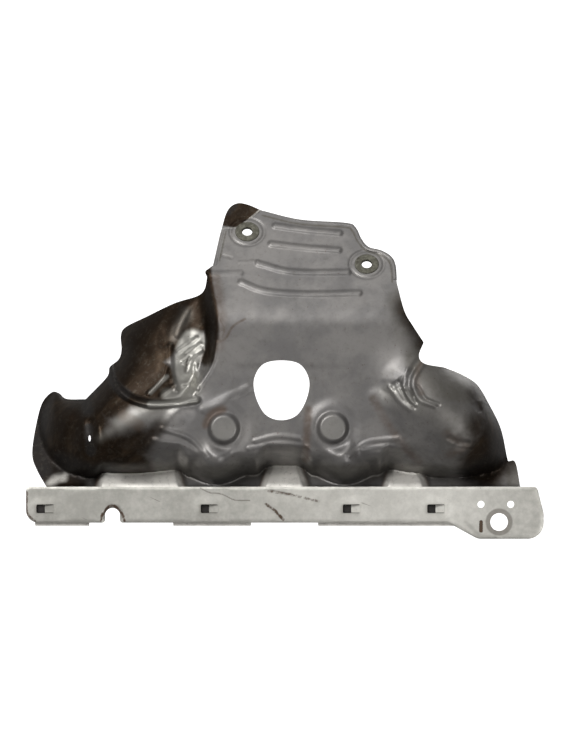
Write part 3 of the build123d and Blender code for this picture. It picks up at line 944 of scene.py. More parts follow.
    STROKES = (
        *strokes(
            Mask.BURN,
            (30, 1, 16, (-108, 125), (-92, 128), (-76, 140), (-56, 155)),
            (24, 1, 12, (-104, 110), (-96, 96), (-86, 92)),
            # Partly burnt colour, partly painted shade of the step between the body and the wing.
            (10, 0.9, 1, (-50, 168), (-47, 146), (-47, 128), (-50, 112)),
            (30, 1, 12, (-165, 70), (-160, 50), (-150, 36)),
            (26, 1, 6, (-136, 74), (-130, 54), (-118, 40), (-104, 34)),
            (20, 0.9, 4, (-118, 96), (-112, 80)),
            (24, 0.62, 6, (-128, 64), (-112, 58), (-100, 56)),
            # Painted shade: this stroke darkens the valley between the left cover and the body.
            (12, 0.55, 1, (-106, 36), (-95, 49), (-82, 67)),
            (30, 0.95, 2, (154, 70), (150, 56), (140, 40)),
            (16, 0.8, 1, (136, 90), (150, 68)),
            (20, 0.55, 1, (134, 66), (142, 48)),
            (15, 0.55, 0, (97, 122), (90, 134), (84, 148)),
            (13, 1, 9, (-40, 214), (-28, 212), (-20, 214)),
        ),
        *strokes(
            Mask.CHAR_AND_SHADE,
            # Partly charring, partly painted shade of the step between the body and the wing.
            (6, 0.5, 0.5, (-49, 160), (-46, 140), (-46, 122)),
            (7, 0.9, 1, (-116, 104), (-113, 94), (-105, 87)),
            (14, 0.9, 2, (-150, 40), (-132, 33), (-116, 31)),
            (16, 0.9, 2, (-167, 76), (-168, 58), (-163, 36)),
            (8, 0.9, 1, (-134, 84), (-131, 76)),
            (6, 0.9, 1, (-130, 64), (-129, 48)),
            (15, 0.7, 1, (154, 56), (148, 42), (128, 33)),
            (5, 0.7, 1, (-36, 212), (-32, 216)),
            # Painted shade: near-black colour on the flange behind the four clinch windows darkens them.
            (7, 1, 5, (-165, 9), (-158, 9)),
            (7, 1, 5, (-53, 9), (-46, 9)),
            (7, 1, 5, (43, 9), (50, 9)),
            (7, 1, 5, (101, 9), (108, 9)),
        ),
        *strokes(
            Mask.RUST,
            (7, 0.6, 0.3, (63, 84), (73, 66), (84, 52), (94, 41)),
            (5, 0.6, 0.3, (96, 110), (92, 99), (95, 88)),
            (8, 0.5, 0.5, (112, 60), (124, 52), (114, 46)),
            (9, 0.55, 0, (-44, 166), (-41, 150), (-39, 134), (-41, 118)),
            (1.8, 0.7, 0.2, (-42, 122), (-37, 125), (-32, 133), (-24, 138)),
            (1.2, 0.7, 0.2, (-41, 138), (-38, 131), (-39, 127)),
            (6, 0.7, 0.5, (18.7, 77), (18, 60), (17.3, 43)),
            (8, 0.6, 2, (-96, 66), (-106, 72)),
            (6, 0.75, 0.5, (-50.5, 66), (-47, 73), (-39, 77)),
        ),
        *strokes(
            Mask.SOOT_AND_SHADE,
            (18, 0.7, 8, (96, 112), (108, 96), (124, 92)),
            (30, 0.5, 4, (104, 84), (118, 68), (124, 48)),
            (16, 0.5, 4, (84, 128), (80, 150)),
            # Painted shade: thin dark lines along the inner edges of the neck's hems.
            (0.9, 0.9, 0.3, (-41.6, 178), (-37.4, 198)),
            (0.9, 0.9, 0.3, (-12.4, 209.4), (13, 203.4), (43.4, 201.2), (49, 198.8), (52.6, 191.4),
             (58.4, 184.9), (67.6, 181.9), (73.2, 178.4), (75.3, 172.9), (75.9, 163)),
            (7, 0.8, 3, (158, 38), (159, 27)),
            # Painted shade: a dark band under the body's lower edge, above the ledge.
            (9, 0.6, 3, (-100, 34), (-40, 34), (40, 34), (110, 34)),
        ),
        *strokes(
            Mask.PALE_AND_PAINTED_LIGHT,
            (1.2, 0.5, 0.2, *TORN_LINE.points),
            (7, 0.6, 0.5, (-157, 25), (-153, 29), (-148, 30)),
        ),
        *strokes(
            Mask.SILVER_AND_HIGHLIGHT,
            # Silver crumpled metal on the wing, partly painted highlight on its crest.
            (13, 0.95, 4, (-60, 122), (-64, 108), (-62, 92)),
            # Painted highlights along the rim, on a wrinkle, on the wing, on the bosses' tops, along the left
            # cover's crest and on the right cover.
            (9, 0.6, 1, (-76, 86), (-66, 87), (-58, 88)),
            (4.5, 0.8, 0.5, (-88, 80), (-74, 80.6), (-57, 83)),
            (3, 0.5, 0.5, (-88, 88), (-77, 99)),
            (11, 0.32, 0, (-64, 142), (-72, 126)),
            (10, 0.42, 7, (-38.6, 63.9), (-38.2, 63.9)),
            (10, 0.42, 7, (35.2, 64.3), (35.6, 64.3)),
            (14, 0.46, 0, (-74, 77), (-94, 74), (-108, 67)),
            (9, 0.32, 0, (-106, 68), (-122, 57)),
            (12, 0.5, 1, (72, 88), (82, 87), (92, 80)),
        ),
    )

    def outline(self) -> np.ndarray:
        """Outer edge from the front, from the rail's left end over the neck and back along the flange.

        Returns:
            The edge's points.
        """
        free = [Line(points).samples()[:-1] for points in self.FREE_EDGES]
        lower: list[Point] = [(163.5, 23.0), (163.5, self.strip_low)]
        for left, right in reversed(self.tabs):
            lower += [(right, self.strip_low), (right, self.tab_low),
                      (left, self.tab_low), (left, self.strip_low)]
        return np.vstack([*free, np.array(lower)])

    def window(self) -> np.ndarray:
        """Edge of the sensor window.

        Returns:
            The edge's points.
        """
        half = np.array(self.WINDOW_HALF)
        closed = np.vstack([half, (half * (-1, 1))[-2:0:-1]])
        ring = Line([tuple(p) for p in np.vstack([closed[-2:], closed, closed[:3]])]).samples()
        steps = Line(()).steps
        ring = ring[2 * steps:-2 * steps - 1]
        return ring + (self.WINDOW_U, 0)

    def holes(self) -> list[np.ndarray]:
        """Edges of the window, the eyelets' holes and the small hole in the left cover's dent.

        Returns:
            One closed edge for each hole.
        """
        lean = cos(radians(self.neck_lean))
        turn = np.linspace(0, 2 * pi, 24, endpoint=False)
        result = [self.window()]
        for u, v in self.eyelets:
            result.append(np.stack([u + self.eyelet_hole / 2 * np.cos(turn),
                                    v + self.eyelet_hole / 2 * lean * np.sin(turn)], axis=-1))
        u, v, half_width, half_height = self.dent_hole
        result.append(np.stack([u + half_width * np.cos(turn), v + half_height * np.sin(turn)], axis=-1))
        return result

    def _body(self, u: Field, v: Field) -> Field:
        """The flat body with its underside, the leaning neck, the step on the left and the right shoulder.

        Args:
            u: Places along the rail.
            v: Places up the shield.

        Returns:
            The depth at each place.
        """
        foot = self.body_foot + self._saddle_lift(u)
        depth = self.body_depth - self.underside_slope * turned(foot - v, self.underside_round)
        depth = depth - tan(radians(self.neck_lean)) * turned(v - self.neck_foot, self.neck_bend)
        step, step_round = self.left_step
        slope, shoulder_round = self.right_shoulder
        depth = depth - step * turned(-self.BODY_LEFT.nearest(u, v)[1], step_round)
        return depth - slope * turned(self.BODY_RIGHT.nearest(u, v)[1], shoulder_round)

    def _cover(self, u: Field, v: Field, crest: Line, foot: Field | float) -> Field:
        """The arched cover over an outer runner.

        Args:
            u: Places along the rail.
            v: Places up the shield.
            crest: The cover's crest, with its depth.
            foot: Height at which its underside starts.

        Returns:
            The depth at each place.
        """
        away, _, top = crest.nearest(u, v)
        under = self.underside_slope * turned(foot - v, self.underside_round)
        return top - arched(away, *self.cover_arch) - under

    def _runner(self, u: Field, v: Field, boss: Point, foot_u: float) -> Field:
        """The bulge over a middle runner, from its boss down to the rail.

        Args:
            u: Places along the rail.
            v: Places up the shield.
            boss: Middle of the boss.
            foot_u: Where the bulge meets the rail.

        Returns:
            The depth at each place.
        """
        above, start_depth = self.runner_start
        crest = Line(((boss[0], boss[1] + above, start_depth), (*boss, self.runner_crest),
                      (foot_u, self.runner_foot, self.runner_crest), (foot_u, 0.0, self.runner_crest)))
        away, _, top = crest.nearest(u, v)
        under = self.underside_slope * turned(self.runner_foot - v, self.underside_round)
        return top - arched(away, *self.runner_arch) - under

    def _saddle(self, u: Field, v: Field) -> Field:
        """How far places belong to the raised saddles between the pockets under the runners.

        Args:
            u: Places along the rail.
            v: Places up the shield.

        Returns:
            From 0 in a pocket to 1 on a saddle.
        """
        flare, extra = self.saddle_flare
        pad = flare * (self.rail_top - v) + extra
        share = np.zeros(u.shape)
        for left, right in self.saddles:
            saddle = fade(u - left + pad, *self.saddle_edge) * fade(right + pad - u, *self.saddle_edge)
            share = np.maximum(share, saddle)
        return share

    def _saddle_lift(self, u: Field) -> Field:
        """How much higher the underside starts above the saddles."""
        return self.saddle_arch * self._saddle(u, np.full(u.shape, self.rail_top))

    def _ledge(self, u: Field, v: Field) -> Field:
        """The ledge above the flange, which drops into a pocket under each runner."""
        pocket = self.pocket_depth * (1 - self._saddle(u, v)) * fade(v, *self.pocket_span)
        return -self.ledge_slope * turned(v - self.rail_top, self.ledge_round) - pocket

    def _upper(self, u: Field, v: Field) -> Field:
        """Body, covers and runner bulges, without the ledge.

        Args:
            u: Places along the rail.
            v: Places up the shield.

        Returns:
            The depth at each place.
        """
        left_foot, right_foot = self.cover_feet
        crisp, softer, right_fillet = self.cover_fillets
        left = self._cover(u, v, self.LEFT_CREST, left_foot + self._saddle_lift(u))
        beyond_rim = fade(self.RIM.nearest(u, v)[1], *self.wing_edge)
        left = left - self.wing_drop * beyond_rim * fade(u, -125, -110) * fade(-u, 50, 62)
        depth = higher(self._body(u, v), left, crisp + softer * fade(-v, -92, -74))
        depth = higher(depth, self._cover(u, v, self.RIGHT_CREST, right_foot), right_fillet)
        for side, boss in zip((-1, 1), self.bosses):
            runner = self._runner(u, v, boss, side * self.runner_pitch / 2)
            depth = higher(depth, runner, self.runner_fillet)
        for line in (self.LEFT_ROLL, self.RIGHT_ROLL):
            _, side, roll = line.nearest(u, v)
            depth = depth - roll * np.clip(1 + side / self.roll_reach, 0, 1.5) ** 2
        return depth

    def depth(self, u: Field, v: Field) -> Field:
        """How far the front stands out from the flange.

        Args:
            u: Places along the rail.
            v: Places up the shield.

        Returns:
            The depth at each place.
        """
        depth = higher(self._upper(u, v), self._ledge(u, v), self.ledge_fillet)
        neck = self.body_depth - tan(radians(self.neck_lean)) * (v - self.neck_foot)
        flat = fade(v, self.neck_flat - 2 * self.neck_bend, self.neck_flat) * fade(u, -51, -46)
        depth = depth * (1 - flat) + neck * flat
        for boss_u, boss_v in self.bosses:
            away = np.hypot(u - boss_u, v - boss_v)
            seat = 1 - fade(away, *self.boss_seat_span)
            depth = depth * (1 - seat) + self.boss_seat * seat
            depth = depth + self.boss_rise * (1 - fade(away - self.boss_radius, *self.boss_wall))
        plate = fade(u, -34, -27) * fade(-u, -50, -34) * fade(-v, -108, -104)
        depth = depth - self.window_plate * plate * fade(v, 70, 90)
        depth = self._details(u, v, depth)
        behind_rail = fade(-v, -24.5, -22.5)
        return higher(depth, np.full(u.shape, self.deepest), self.deepest_fillet) * (1 - behind_rail)

    def _details(self, u: Field, v: Field, depth: Field) -> Field:
        """Beads, the rim, the torn corner, dents and crumples on the plain form.

        Args:
            u: Places along the rail.
            v: Places up the shield.
            depth: The plain form's depth.

        Returns:
            The depth at each place.
        """
        for line in self.BEADS[:self.neck_beads]:
            depth = depth + Ridge(line, self.bead_width, self.bead_rise).depth(u, v)
        for line in self.BEADS[self.neck_beads:]:
            depth = depth + Ridge(line, self.body_bead_width, self.body_bead_rise).depth(u, v)
        depth = depth + Ridge(self.RIM, *self.rim_size).depth(u, v)
        for dent in self.DENTS:
            depth = depth + self.dent_share * dent.depth(u, v)
        depth = depth - self.tear_step * self._beyond_tear(u, v, 0.4)
        for eyelet_u, eyelet_v in self.eyelets:
            away = np.hypot(u - eyelet_u, (v - eyelet_v) / cos(radians(self.neck_lean)))
            groove_radius, groove_width, groove_depth = self.seat_groove
            depth = depth - groove_depth * np.exp(-((away - groove_radius) / groove_width) ** 2)
        crumple = np.max([patch.value(u, v) for patch in self.CRUMPLES], axis=0)
        depth = depth + crumple * (smooth_noise(u, v, 6.0, 7.0) * 0.6 + smooth_noise(u, v, 3.0, 9.0) * 0.12)
        return depth + smooth_noise(u, v, 26.0, 4.0) * 0.45 + smooth_noise(u, v, 9.0, 5.0) * 0.12

    def _beyond_tear(self, u: Field, v: Field, soft: float) -> Field:
        """How far places belong to the neck's torn corner, with an edge as soft as given."""
        torn = self.TORN_LINE.nearest(u, v)[1] + smooth_noise(u, v, 3.5, 2.0) * self.tear_wander
        return fade(torn, -soft, soft) * fade(v, 192, 196) * fade(-u, 5, 12)

    def front(self, u: Field, v: Field) -> Field:
        """The front's y at the given places."""
        return self.seat_gap - self.depth(u, v)

    def detail(self, u: Field, v: Field) -> np.ndarray:
        """Which places carry fine relief.

        Args:
            u: Places along the rail.
            v: Places up the shield.

        Returns:
            True for each place that needs the finer lattice.
        """
        lines = [(self.RIM, 5.0), *self.CRUMPLED]
        lines += [(line, self.bead_width + 1.5) for line in (*self.BEADS, self.TORN_LINE)]
        lines += [(dent.line, min(dent.width + 1.0, 4.0)) for dent in self.DENTS]
        lines += [(stroke.line, stroke.reach + 0.5) for stroke in self.STROKES if stroke.reach < 2]
        result = (v > 24) & (v < 42) & (np.abs(u) < 130)
        for line, reach in lines:
            result |= line.nearest(u, v)[0] < reach
        for centres, reach in ((self.bosses, 16.0), (self.eyelets, 13.0)):
            for centre in centres:
                result |= np.hypot(u - centre[0], v - centre[1]) < reach
        return result

    def masks(self, u: Field, v: Field) -> dict[Mask, Field]:
        """Strength of each stain and of the painted light and shade at front-view places.

        Args:
            u: Places along the rail.
            v: Places up the shield.

        Returns:
            One field of values for each mask.
        """
        result = {mask: np.zeros(u.shape) for mask in Mask if mask is not Mask.INNER}
        for stroke in self.STROKES:
            add_to_mask(result, stroke.mask, stroke.value(u, v))
        corner = self._beyond_tear(u, v, 0.5)
        result[Mask.BURN] = np.where(v > 190, np.minimum(result[Mask.BURN], corner), result[Mask.BURN])
        on_body = fade(self.BODY_LEFT.nearest(u, v)[1], 0.0, 5.0) * fade(v, 78, 96) * fade(-v, -185, -170)
        # Burnt and charred colour are cleared on the body beside its left edge, and under the silver crumples
        # and painted highlights.
        clear = (1 - on_body * fade(-u, -60, 20)) * (1 - self.highlight_clearing * result[Mask.SILVER_AND_HIGHLIGHT])
        for dark in (Mask.BURN, Mask.CHAR_AND_SHADE):
            result[dark] = result[dark] * clear
        on_ledge = fade(self._ledge(u, v) - self._upper(u, v), -1.0, 2.0) * fade(v, 14, 20)
        saddle = self._saddle(u, v)
        # Painted light: the saddles, which face up, are painted pale.
        add_to_mask(result, Mask.PALE_AND_PAINTED_LIGHT, on_ledge * saddle)
        # Painted light: the tabs' lower edges, which sit in shade behind the rail, are painted pale.
        add_to_mask(result, Mask.PALE_AND_PAINTED_LIGHT, self.tab_painted_light * fade(-v, -5, -1))
        add_to_mask(result, Mask.RUST, self.saddle_rust * on_ledge * saddle * (1 - saddle))
        return result

    def build(self, finish: bpy.types.Material) -> list[bpy.types.Object]:
        """Makes the sheet and its hem, and dresses them.

        Args:
            finish: The sheet's material.

        Returns:
            The new pieces.
        """
        mesh = SheetMesh("shield_sheet", self.outline(), self.holes(), self.front, self.detail, self.sheet,
                         self.pitch, self.fine_pitch)
        sheet = mesh.build(self.masks)
        sheet.data.materials.append(finish)
        return [sheet, *self._hems(finish)]

    def _hems(self, finish: bpy.types.Material) -> list[bpy.types.Object]:
        """The folded edges of the neck, on its left and along its top.

        Args:
            finish: The sheet's material.

        Returns:
            One piece for each edge.
        """
        left = Line(self.FREE_EDGES[3]).samples()
        top = Line(self.FREE_EDGES[4]).samples()
        sweep = EdgeSweep(self.hem_size, (radians(90 - self.neck_lean), 0.0, 0.0),
                          (-BOLT_U, self.seat_gap - self.body_depth, self.neck_foot))
        pieces = []
        edges = {"neck_hem_left": left[left[:, 1] < self.hem_ends[0]],
                 "neck_hem_top": top[top[:, 1] > self.hem_ends[1]]}
        for name, edge in edges.items():
            edge = (edge - (0, self.neck_foot)) / (1, cos(radians(self.neck_lean)))
            along = np.gradient(edge, axis=0)
            inward = np.stack([along[:, 1], -along[:, 0]], axis=-1)
            inward = inward / np.hypot(*inward.T)[:, None]
            pieces.append(sweep.build(name, edge + inward * self.hem_size[0] * self.hem_inset, finish))
        return pieces


@dataclass
class MountingRail:
    """The plate in front of the flange, with its ear, holes, stud slot and clinched tongues."""

    sheet: float = 1.5
    pitch: float = 1.8
    fine_pitch: float = 0.8
    left: float = -173.0
    right: float = 179.0
    top: float = 24.0
    bottom: float = -0.5
    ear_drop: float = 11.0
    ear_start: float = 134.0
    ear_run: float = 20.0
    end_slope: float = 4.5
    end_run: float = 18.0
    bolt_hole: float = 12.0
    locating_hole: float = 4.8
    locating_spacing: float = 20.2
    locating_u: float = 146.4
    locating_v: float = 12.0
    slot_u: float = -114.2
    slot_width: float = 10.2
    slot_top: float = 9.5
    lances: Sequence[float] = (-160.0, -48.3, 48.3, 105.7)
    lance_v: float = 9.0
    lance_length: float = 12.0
    lance_height: float = 6.0
    lance_swell: float = 0.5
    lance_painted_shade: float = 0.55
    slot_dish: float = 0.9
    slot_painted_shade: float = 0.5
    edge_round: float = 0.7
    tongue_length: float = 8.0
    tongue_angle: float = 20.0
    tongue_root: float = 0.6
    tongue_clearance: float = 0.4

    STROKES = (
        *strokes(
            Mask.RUST,
            (3, 0.7, 0.2, (-10, 12), (-4, 8), (2, 1.5)),
            (3, 0.62, 0.2, (-8, 21), (10, 18), (26, 14)),
            (2, 1, 0.8, (136.3, 0), (136.3, -6)),
            (2.5, 0.7, 0.3, (-172.5, 20), (-172.5, 7), (-167, 0.5)),
            (2.5, 0.75, 0.3, (-122, 1), (-120.5, 6), (-114.2, 11.4), (-108, 6), (-106, 1)),
        ),
        *strokes(
            Mask.SOOT_AND_SHADE,
            (0.7, 0.9, 0.2, (-54.7, 23.1), (-48, 20), (-40, 19), (-31, 15), (-20.7, 14.6)),
            (0.8, 0.9, 0.2, (-7, 21.8), (8, 19)),
            (3, 0.5, 0.5, (126, 0), (136, -9), (146, -10.5)),
        ),
    )

    def outline(self) -> np.ndarray:
        """Outer edge of the plate, with the stud slot open at the bottom.

        Returns:
            The edge's points.
        """
        low = self.bottom - self.ear_drop
        half = self.slot_width / 2
        corners = {
            (self.left, self.top): 3.0,
            (self.left, self.bottom): 8.5,
            (self.slot_u - half, self.bottom): 1.5,
            (self.slot_u - half, self.slot_top): half - 0.01,
            (self.slot_u + half, self.slot_top): half - 0.01,
            (self.slot_u + half, self.bottom): 1.5,
            (self.ear_start - self.ear_run, self.bottom): 8.0,
            (self.ear_start, low): 8.0,
            (self.right, low): 11.0,
            (self.right, self.top - self.end_run): 11.0,
            (self.right - self.end_slope, self.top): 3.0,
        }
        return rounded_loop(corners, 0.8)

    def holes(self) -> list[np.ndarray]:
        """Edges of the bolt hole, the locating holes and the clinch windows.

        Returns:
            One closed edge for each hole.
        """
        result = [np.array(arc((BOLT_U, 0.0), self.bolt_hole / 2, 0, 360, 0.6)[:-1])]
        for side in (-1, 1):
            centre = (self.locating_u + side * self.locating_spacing / 2, self.locating_v)
            result.append(np.array(arc(centre, self.locating_hole / 2, 0, 360, 0.5)[:-1]))
        half_length, half_height = self.lance_length / 2, self.lance_height / 2
        for u in self.lances:
            corners = {(u + a * half_length, self.lance_v + b * half_height): 0.8
                       for a, b in ((-1, -1), (1, -1), (1, 1), (-1, 1))}
            result.append(rounded_loop(corners, 0.4))
        return result

    def _lance_distance(self, across: Field, v: Field, core: Point) -> Field:
        """Distance from a clinch window's core, given its half length and half height."""
        return np.hypot(np.maximum(np.abs(across) - core[0], 0),
                        np.maximum(np.abs(v - self.lance_v) - core[1], 0))

    def _slot_distance(self, u: Field, v: Field) -> Field:
        """Distance from the stud slot's middle line."""
        return np.hypot(u - self.slot_u, np.maximum(v - self.slot_top + self.slot_width / 2, 0))

    def front(self, u: Field, v: Field) -> Field:
        """The front's y at the given places.

        Args:
            u: Places along the rail.
            v: Places up the shield.

        Returns:
            One value for each place.
        """
        depth = np.full(u.shape, self.sheet)
        for lance_u in self.lances:
            depth = depth + self.lance_swell * fade(-self._lance_distance(u - lance_u, v, (4, 1)), -9.0, -0.5)
        depth = depth - self.slot_dish * fade(-self._slot_distance(u, v), -8.0, -5.0) * fade(v, -2, 3)
        edge = edge_distance([respaced(self.outline(), 2.0)], u, v)
        share = np.clip(1 - edge / (2.5 * self.edge_round), 0, 1)
        depth = depth - self.edge_round * (1 - np.sqrt(1 - 0.98 * share ** 2))
        return -(depth + smooth_noise(u, v, 40.0, 11.0) * 0.25)

    def detail(self, u: Field, v: Field) -> np.ndarray:
        """Which places carry fine relief or thin marks.

        Args:
            u: Places along the rail.
            v: Places up the shield.

        Returns:
            True for each place that needs the finer lattice.
        """
        result = np.abs(u - self.slot_u) < 10
        for lance_u in self.lances:
            result |= np.abs(u - lance_u) < 13
        for stroke in self.STROKES:
            result |= stroke.line.nearest(u, v)[0] < stroke.reach + 1
        return result

    def masks(self, u: Field, v: Field) -> dict[Mask, Field]:
        """Strength of each stain and of the painted shade at front-view places.

        Args:
            u: Places along the rail.
            v: Places up the shield.

        Returns:
            One field of values for each mask.
        """
        result = {mask: np.zeros(u.shape) for mask in (Mask.RUST, Mask.SOOT_AND_SHADE)}
        for stroke in self.STROKES:
            add_to_mask(result, stroke.mask, stroke.value(u, v))
        # Painted shade: dark colour round the clinch windows and the stud slot.
        for lance_u in self.lances:
            away = self._lance_distance(u - lance_u + 1, v, (5, 2))
            add_to_mask(result, Mask.SOOT_AND_SHADE, self.lance_painted_shade * fade(-away, -3.2, -0.6))
        add_to_mask(result, Mask.SOOT_AND_SHADE, self.slot_painted_shade * fade(-self._slot_distance(u, v), -7.5, -5.2))
        return result

    def build(self, finish: bpy.types.Material) -> list[bpy.types.Object]:
        """Makes the plate and its tongues, and dresses them.

        Args:
            finish: The rail's material.

        Returns:
            The new pieces.
        """
        mesh = SheetMesh("rail_plate", self.outline(), self.holes(), self.front, self.detail, self.sheet,
                         self.pitch, self.fine_pitch)
        plate = mesh.build(self.masks)
        plate.data.materials.append(finish)
        return [plate, self._tongues(finish)]

    def _tongues(self, finish: bpy.types.Material) -> bpy.types.Object:
        """The lanced tongues, one at each clinch window.

        Args:
            finish: The rail's material.

        Returns:
            One piece that holds every tongue.
        """
        root = self.lance_length / 2 + self.tongue_root
        places = to_frame(np.array(self.lances) + root, np.zeros(len(self.lances)),
                          np.full(len(self.lances), self.lance_v))
        size = (self.tongue_length, self.sheet, self.lance_height - 2 * self.tongue_clearance)
        return RepeatedTongue(size, self.tongue_angle).build("rail_tongues", places, finish)


@dataclass
class RepeatedTongue:
    """A bent tongue that a node tree sets at each of some points."""

    size: Point
    angle: float
    bend_steps: int = 6

    def build(self, name: str, places: np.ndarray, finish: bpy.types.Material) -> bpy.types.Object:
        """Sets a tongue at each place.

        Args:
            name: The new piece's name.
            places: Roots of the tongues, in metres.
            finish: The tongues' material.

        Returns:
            The new piece, as a plain mesh.
        """
        length, thickness, height = (size * MM for size in self.size)
        tree = NodeTree("clinch_tongues")
        size_in = tree.size_input("Size", (length, thickness, height))
        turn_in = tree.size_input("Turn", (0.0, 0.0, radians(-self.angle)))
        shift_in = tree.size_input("Shift", (-length / 2, -thickness / 2, 0.0))
        tongue = tree.node("GeometryNodeMeshCube", {}, {"Size": size_in, "Vertices X": self.bend_steps})
        tongue = tree.node("GeometryNodeTransform", {}, {"Geometry": tongue, "Translation": shift_in})
        tongue = tree.node("GeometryNodeTransform", {}, {"Geometry": tongue, "Rotation": turn_in})
        points = tree.node("GeometryNodeMeshToPoints", {}, {"Mesh": tree.geometry})
        copies = tree.node("GeometryNodeInstanceOnPoints", {}, {"Points": points, "Instance": tongue})
        return tree.finish(name, places, copies, finish)


@dataclass
class EdgeSweep:
    """A flat round band that a node tree sweeps along an edge drawn in a plane of its own."""

    size: Point
    turn: Point
    origin: Point
    corners: int = 12
    sink: float = 0.2

    def build(self, name: str, edge: np.ndarray, finish: bpy.types.Material) -> bpy.types.Object:
        """Sweeps the band along an edge.

        Args:
            name: The new piece's name.
            edge: Points of the edge in its plane, in millimetres.
            finish: The band's material.

        Returns:
            The new piece, as a plain mesh.
        """
        tree = NodeTree("edge_band")
        size_in = tree.size_input("Half size", (self.size[0] / 2 * MM, self.size[1] / 2 * MM, 1.0))
        turn_in = tree.size_input("Turn", self.turn)
        origin_in = tree.size_input("Origin", tuple(value * MM for value in self.origin))
        path = tree.node("GeometryNodeMeshToCurve", {}, {"Mesh": tree.geometry})
        path = tree.node("GeometryNodeSetCurveNormal", {"mode": "Z_UP"}, {"Curve": path})
        section = tree.node("GeometryNodeCurvePrimitiveCircle", {},
                            {"Radius": 1.0, "Resolution": self.corners})
        section = tree.node("GeometryNodeTransform", {}, {"Geometry": section, "Scale": size_in})
        band = tree.node("GeometryNodeCurveToMesh", {},
                         {"Curve": path, "Profile Curve": section, "Fill Caps": True})
        band = tree.node("GeometryNodeTransform", {},
                         {"Geometry": band, "Rotation": turn_in, "Translation": origin_in})
        points = np.column_stack([edge, np.full(len(edge), -self.sink)]) * MM
        return tree.finish(name, points, band, finish)


class NodeTree:
    """A tree of geometry nodes that turns points into a finished mesh."""

    def __init__(self, name: str) -> None:
        """Makes a tree with a geometry input and output.

        Args:
            name: The tree's name.
        """
        self.tree = bpy.data.node_groups.new(name, "GeometryNodeTree")
        self.tree.interface.new_socket("Geometry", in_out="INPUT", socket_type="NodeSocketGeometry")
        self.tree.interface.new_socket("Geometry", in_out="OUTPUT", socket_type="NodeSocketGeometry")
        self.entry = self.tree.nodes.new("NodeGroupInput")
        self.exit = self.tree.nodes.new("NodeGroupOutput")
        self.geometry = self.entry.outputs["Geometry"]
        self.values: dict[str, Point] = {}

    def size_input(self, name: str, value: Point) -> bpy.types.NodeSocket:
        """Adds a named vector input and keeps the value that the modifier gives it.

        Args:
            name: The input's name.
            value: Its value.

        Returns:
            The input's socket inside the tree.
        """
        item = self.tree.interface.new_socket(name, in_out="INPUT", socket_type="NodeSocketVector")
        self.values[item.identifier] = value
        return self.entry.outputs[name]

    def node(self, kind: str, settings: dict[str, Any], sockets: dict[str, Any]) -> bpy.types.NodeSocket:
        """Adds a node.

        Args:
            kind: The node's type.
            settings: Its properties, set first.
            sockets: Values or links of its sockets, by name.

        Returns:
            The node's first output.
        """
        node = self.tree.nodes.new(kind)
        for key, setting in settings.items():
            setattr(node, key, setting)
        for key, value in sockets.items():
            if isinstance(value, bpy.types.NodeSocket):
                self.tree.links.new(value, node.inputs[key])
            else:
                node.inputs[key].default_value = value
        return node.outputs[0]

    def finish(self, name: str, points: np.ndarray, result: bpy.types.NodeSocket,
               finish: bpy.types.Material) -> bpy.types.Object:
        """Runs the tree on points and keeps what it makes.

        Args:
            name: The new piece's name.
            points: The points that the tree starts from, in metres; neighbours are joined by edges.
            result: The geometry to keep.
            finish: The piece's material.

        Returns:
            The new piece, as a plain mesh with no modifier.
        """
        real = self.node("GeometryNodeRealizeInstances", {}, {"Geometry": result})
        dressed = self.node("GeometryNodeSetMaterial", {}, {"Geometry": real, "Material": finish})
        self.tree.links.new(dressed, self.exit.inputs["Geometry"])
        start = bpy.data.meshes.new(name + "_points")
        start.from_pydata(points.tolist(), [(i, i + 1) for i in range(len(points) - 1)], [])
        piece = placed(name, start)
        modifier = piece.modifiers.new(name, "NODES")
        modifier.node_group = self.tree
        for identifier, value in self.values.items():
            modifier[identifier] = value
        made = piece.evaluated_get(bpy.context.evaluated_depsgraph_get())
        mesh = bpy.data.meshes.new_from_object(made)
        piece.modifiers.clear()
        piece.data = mesh
        return piece


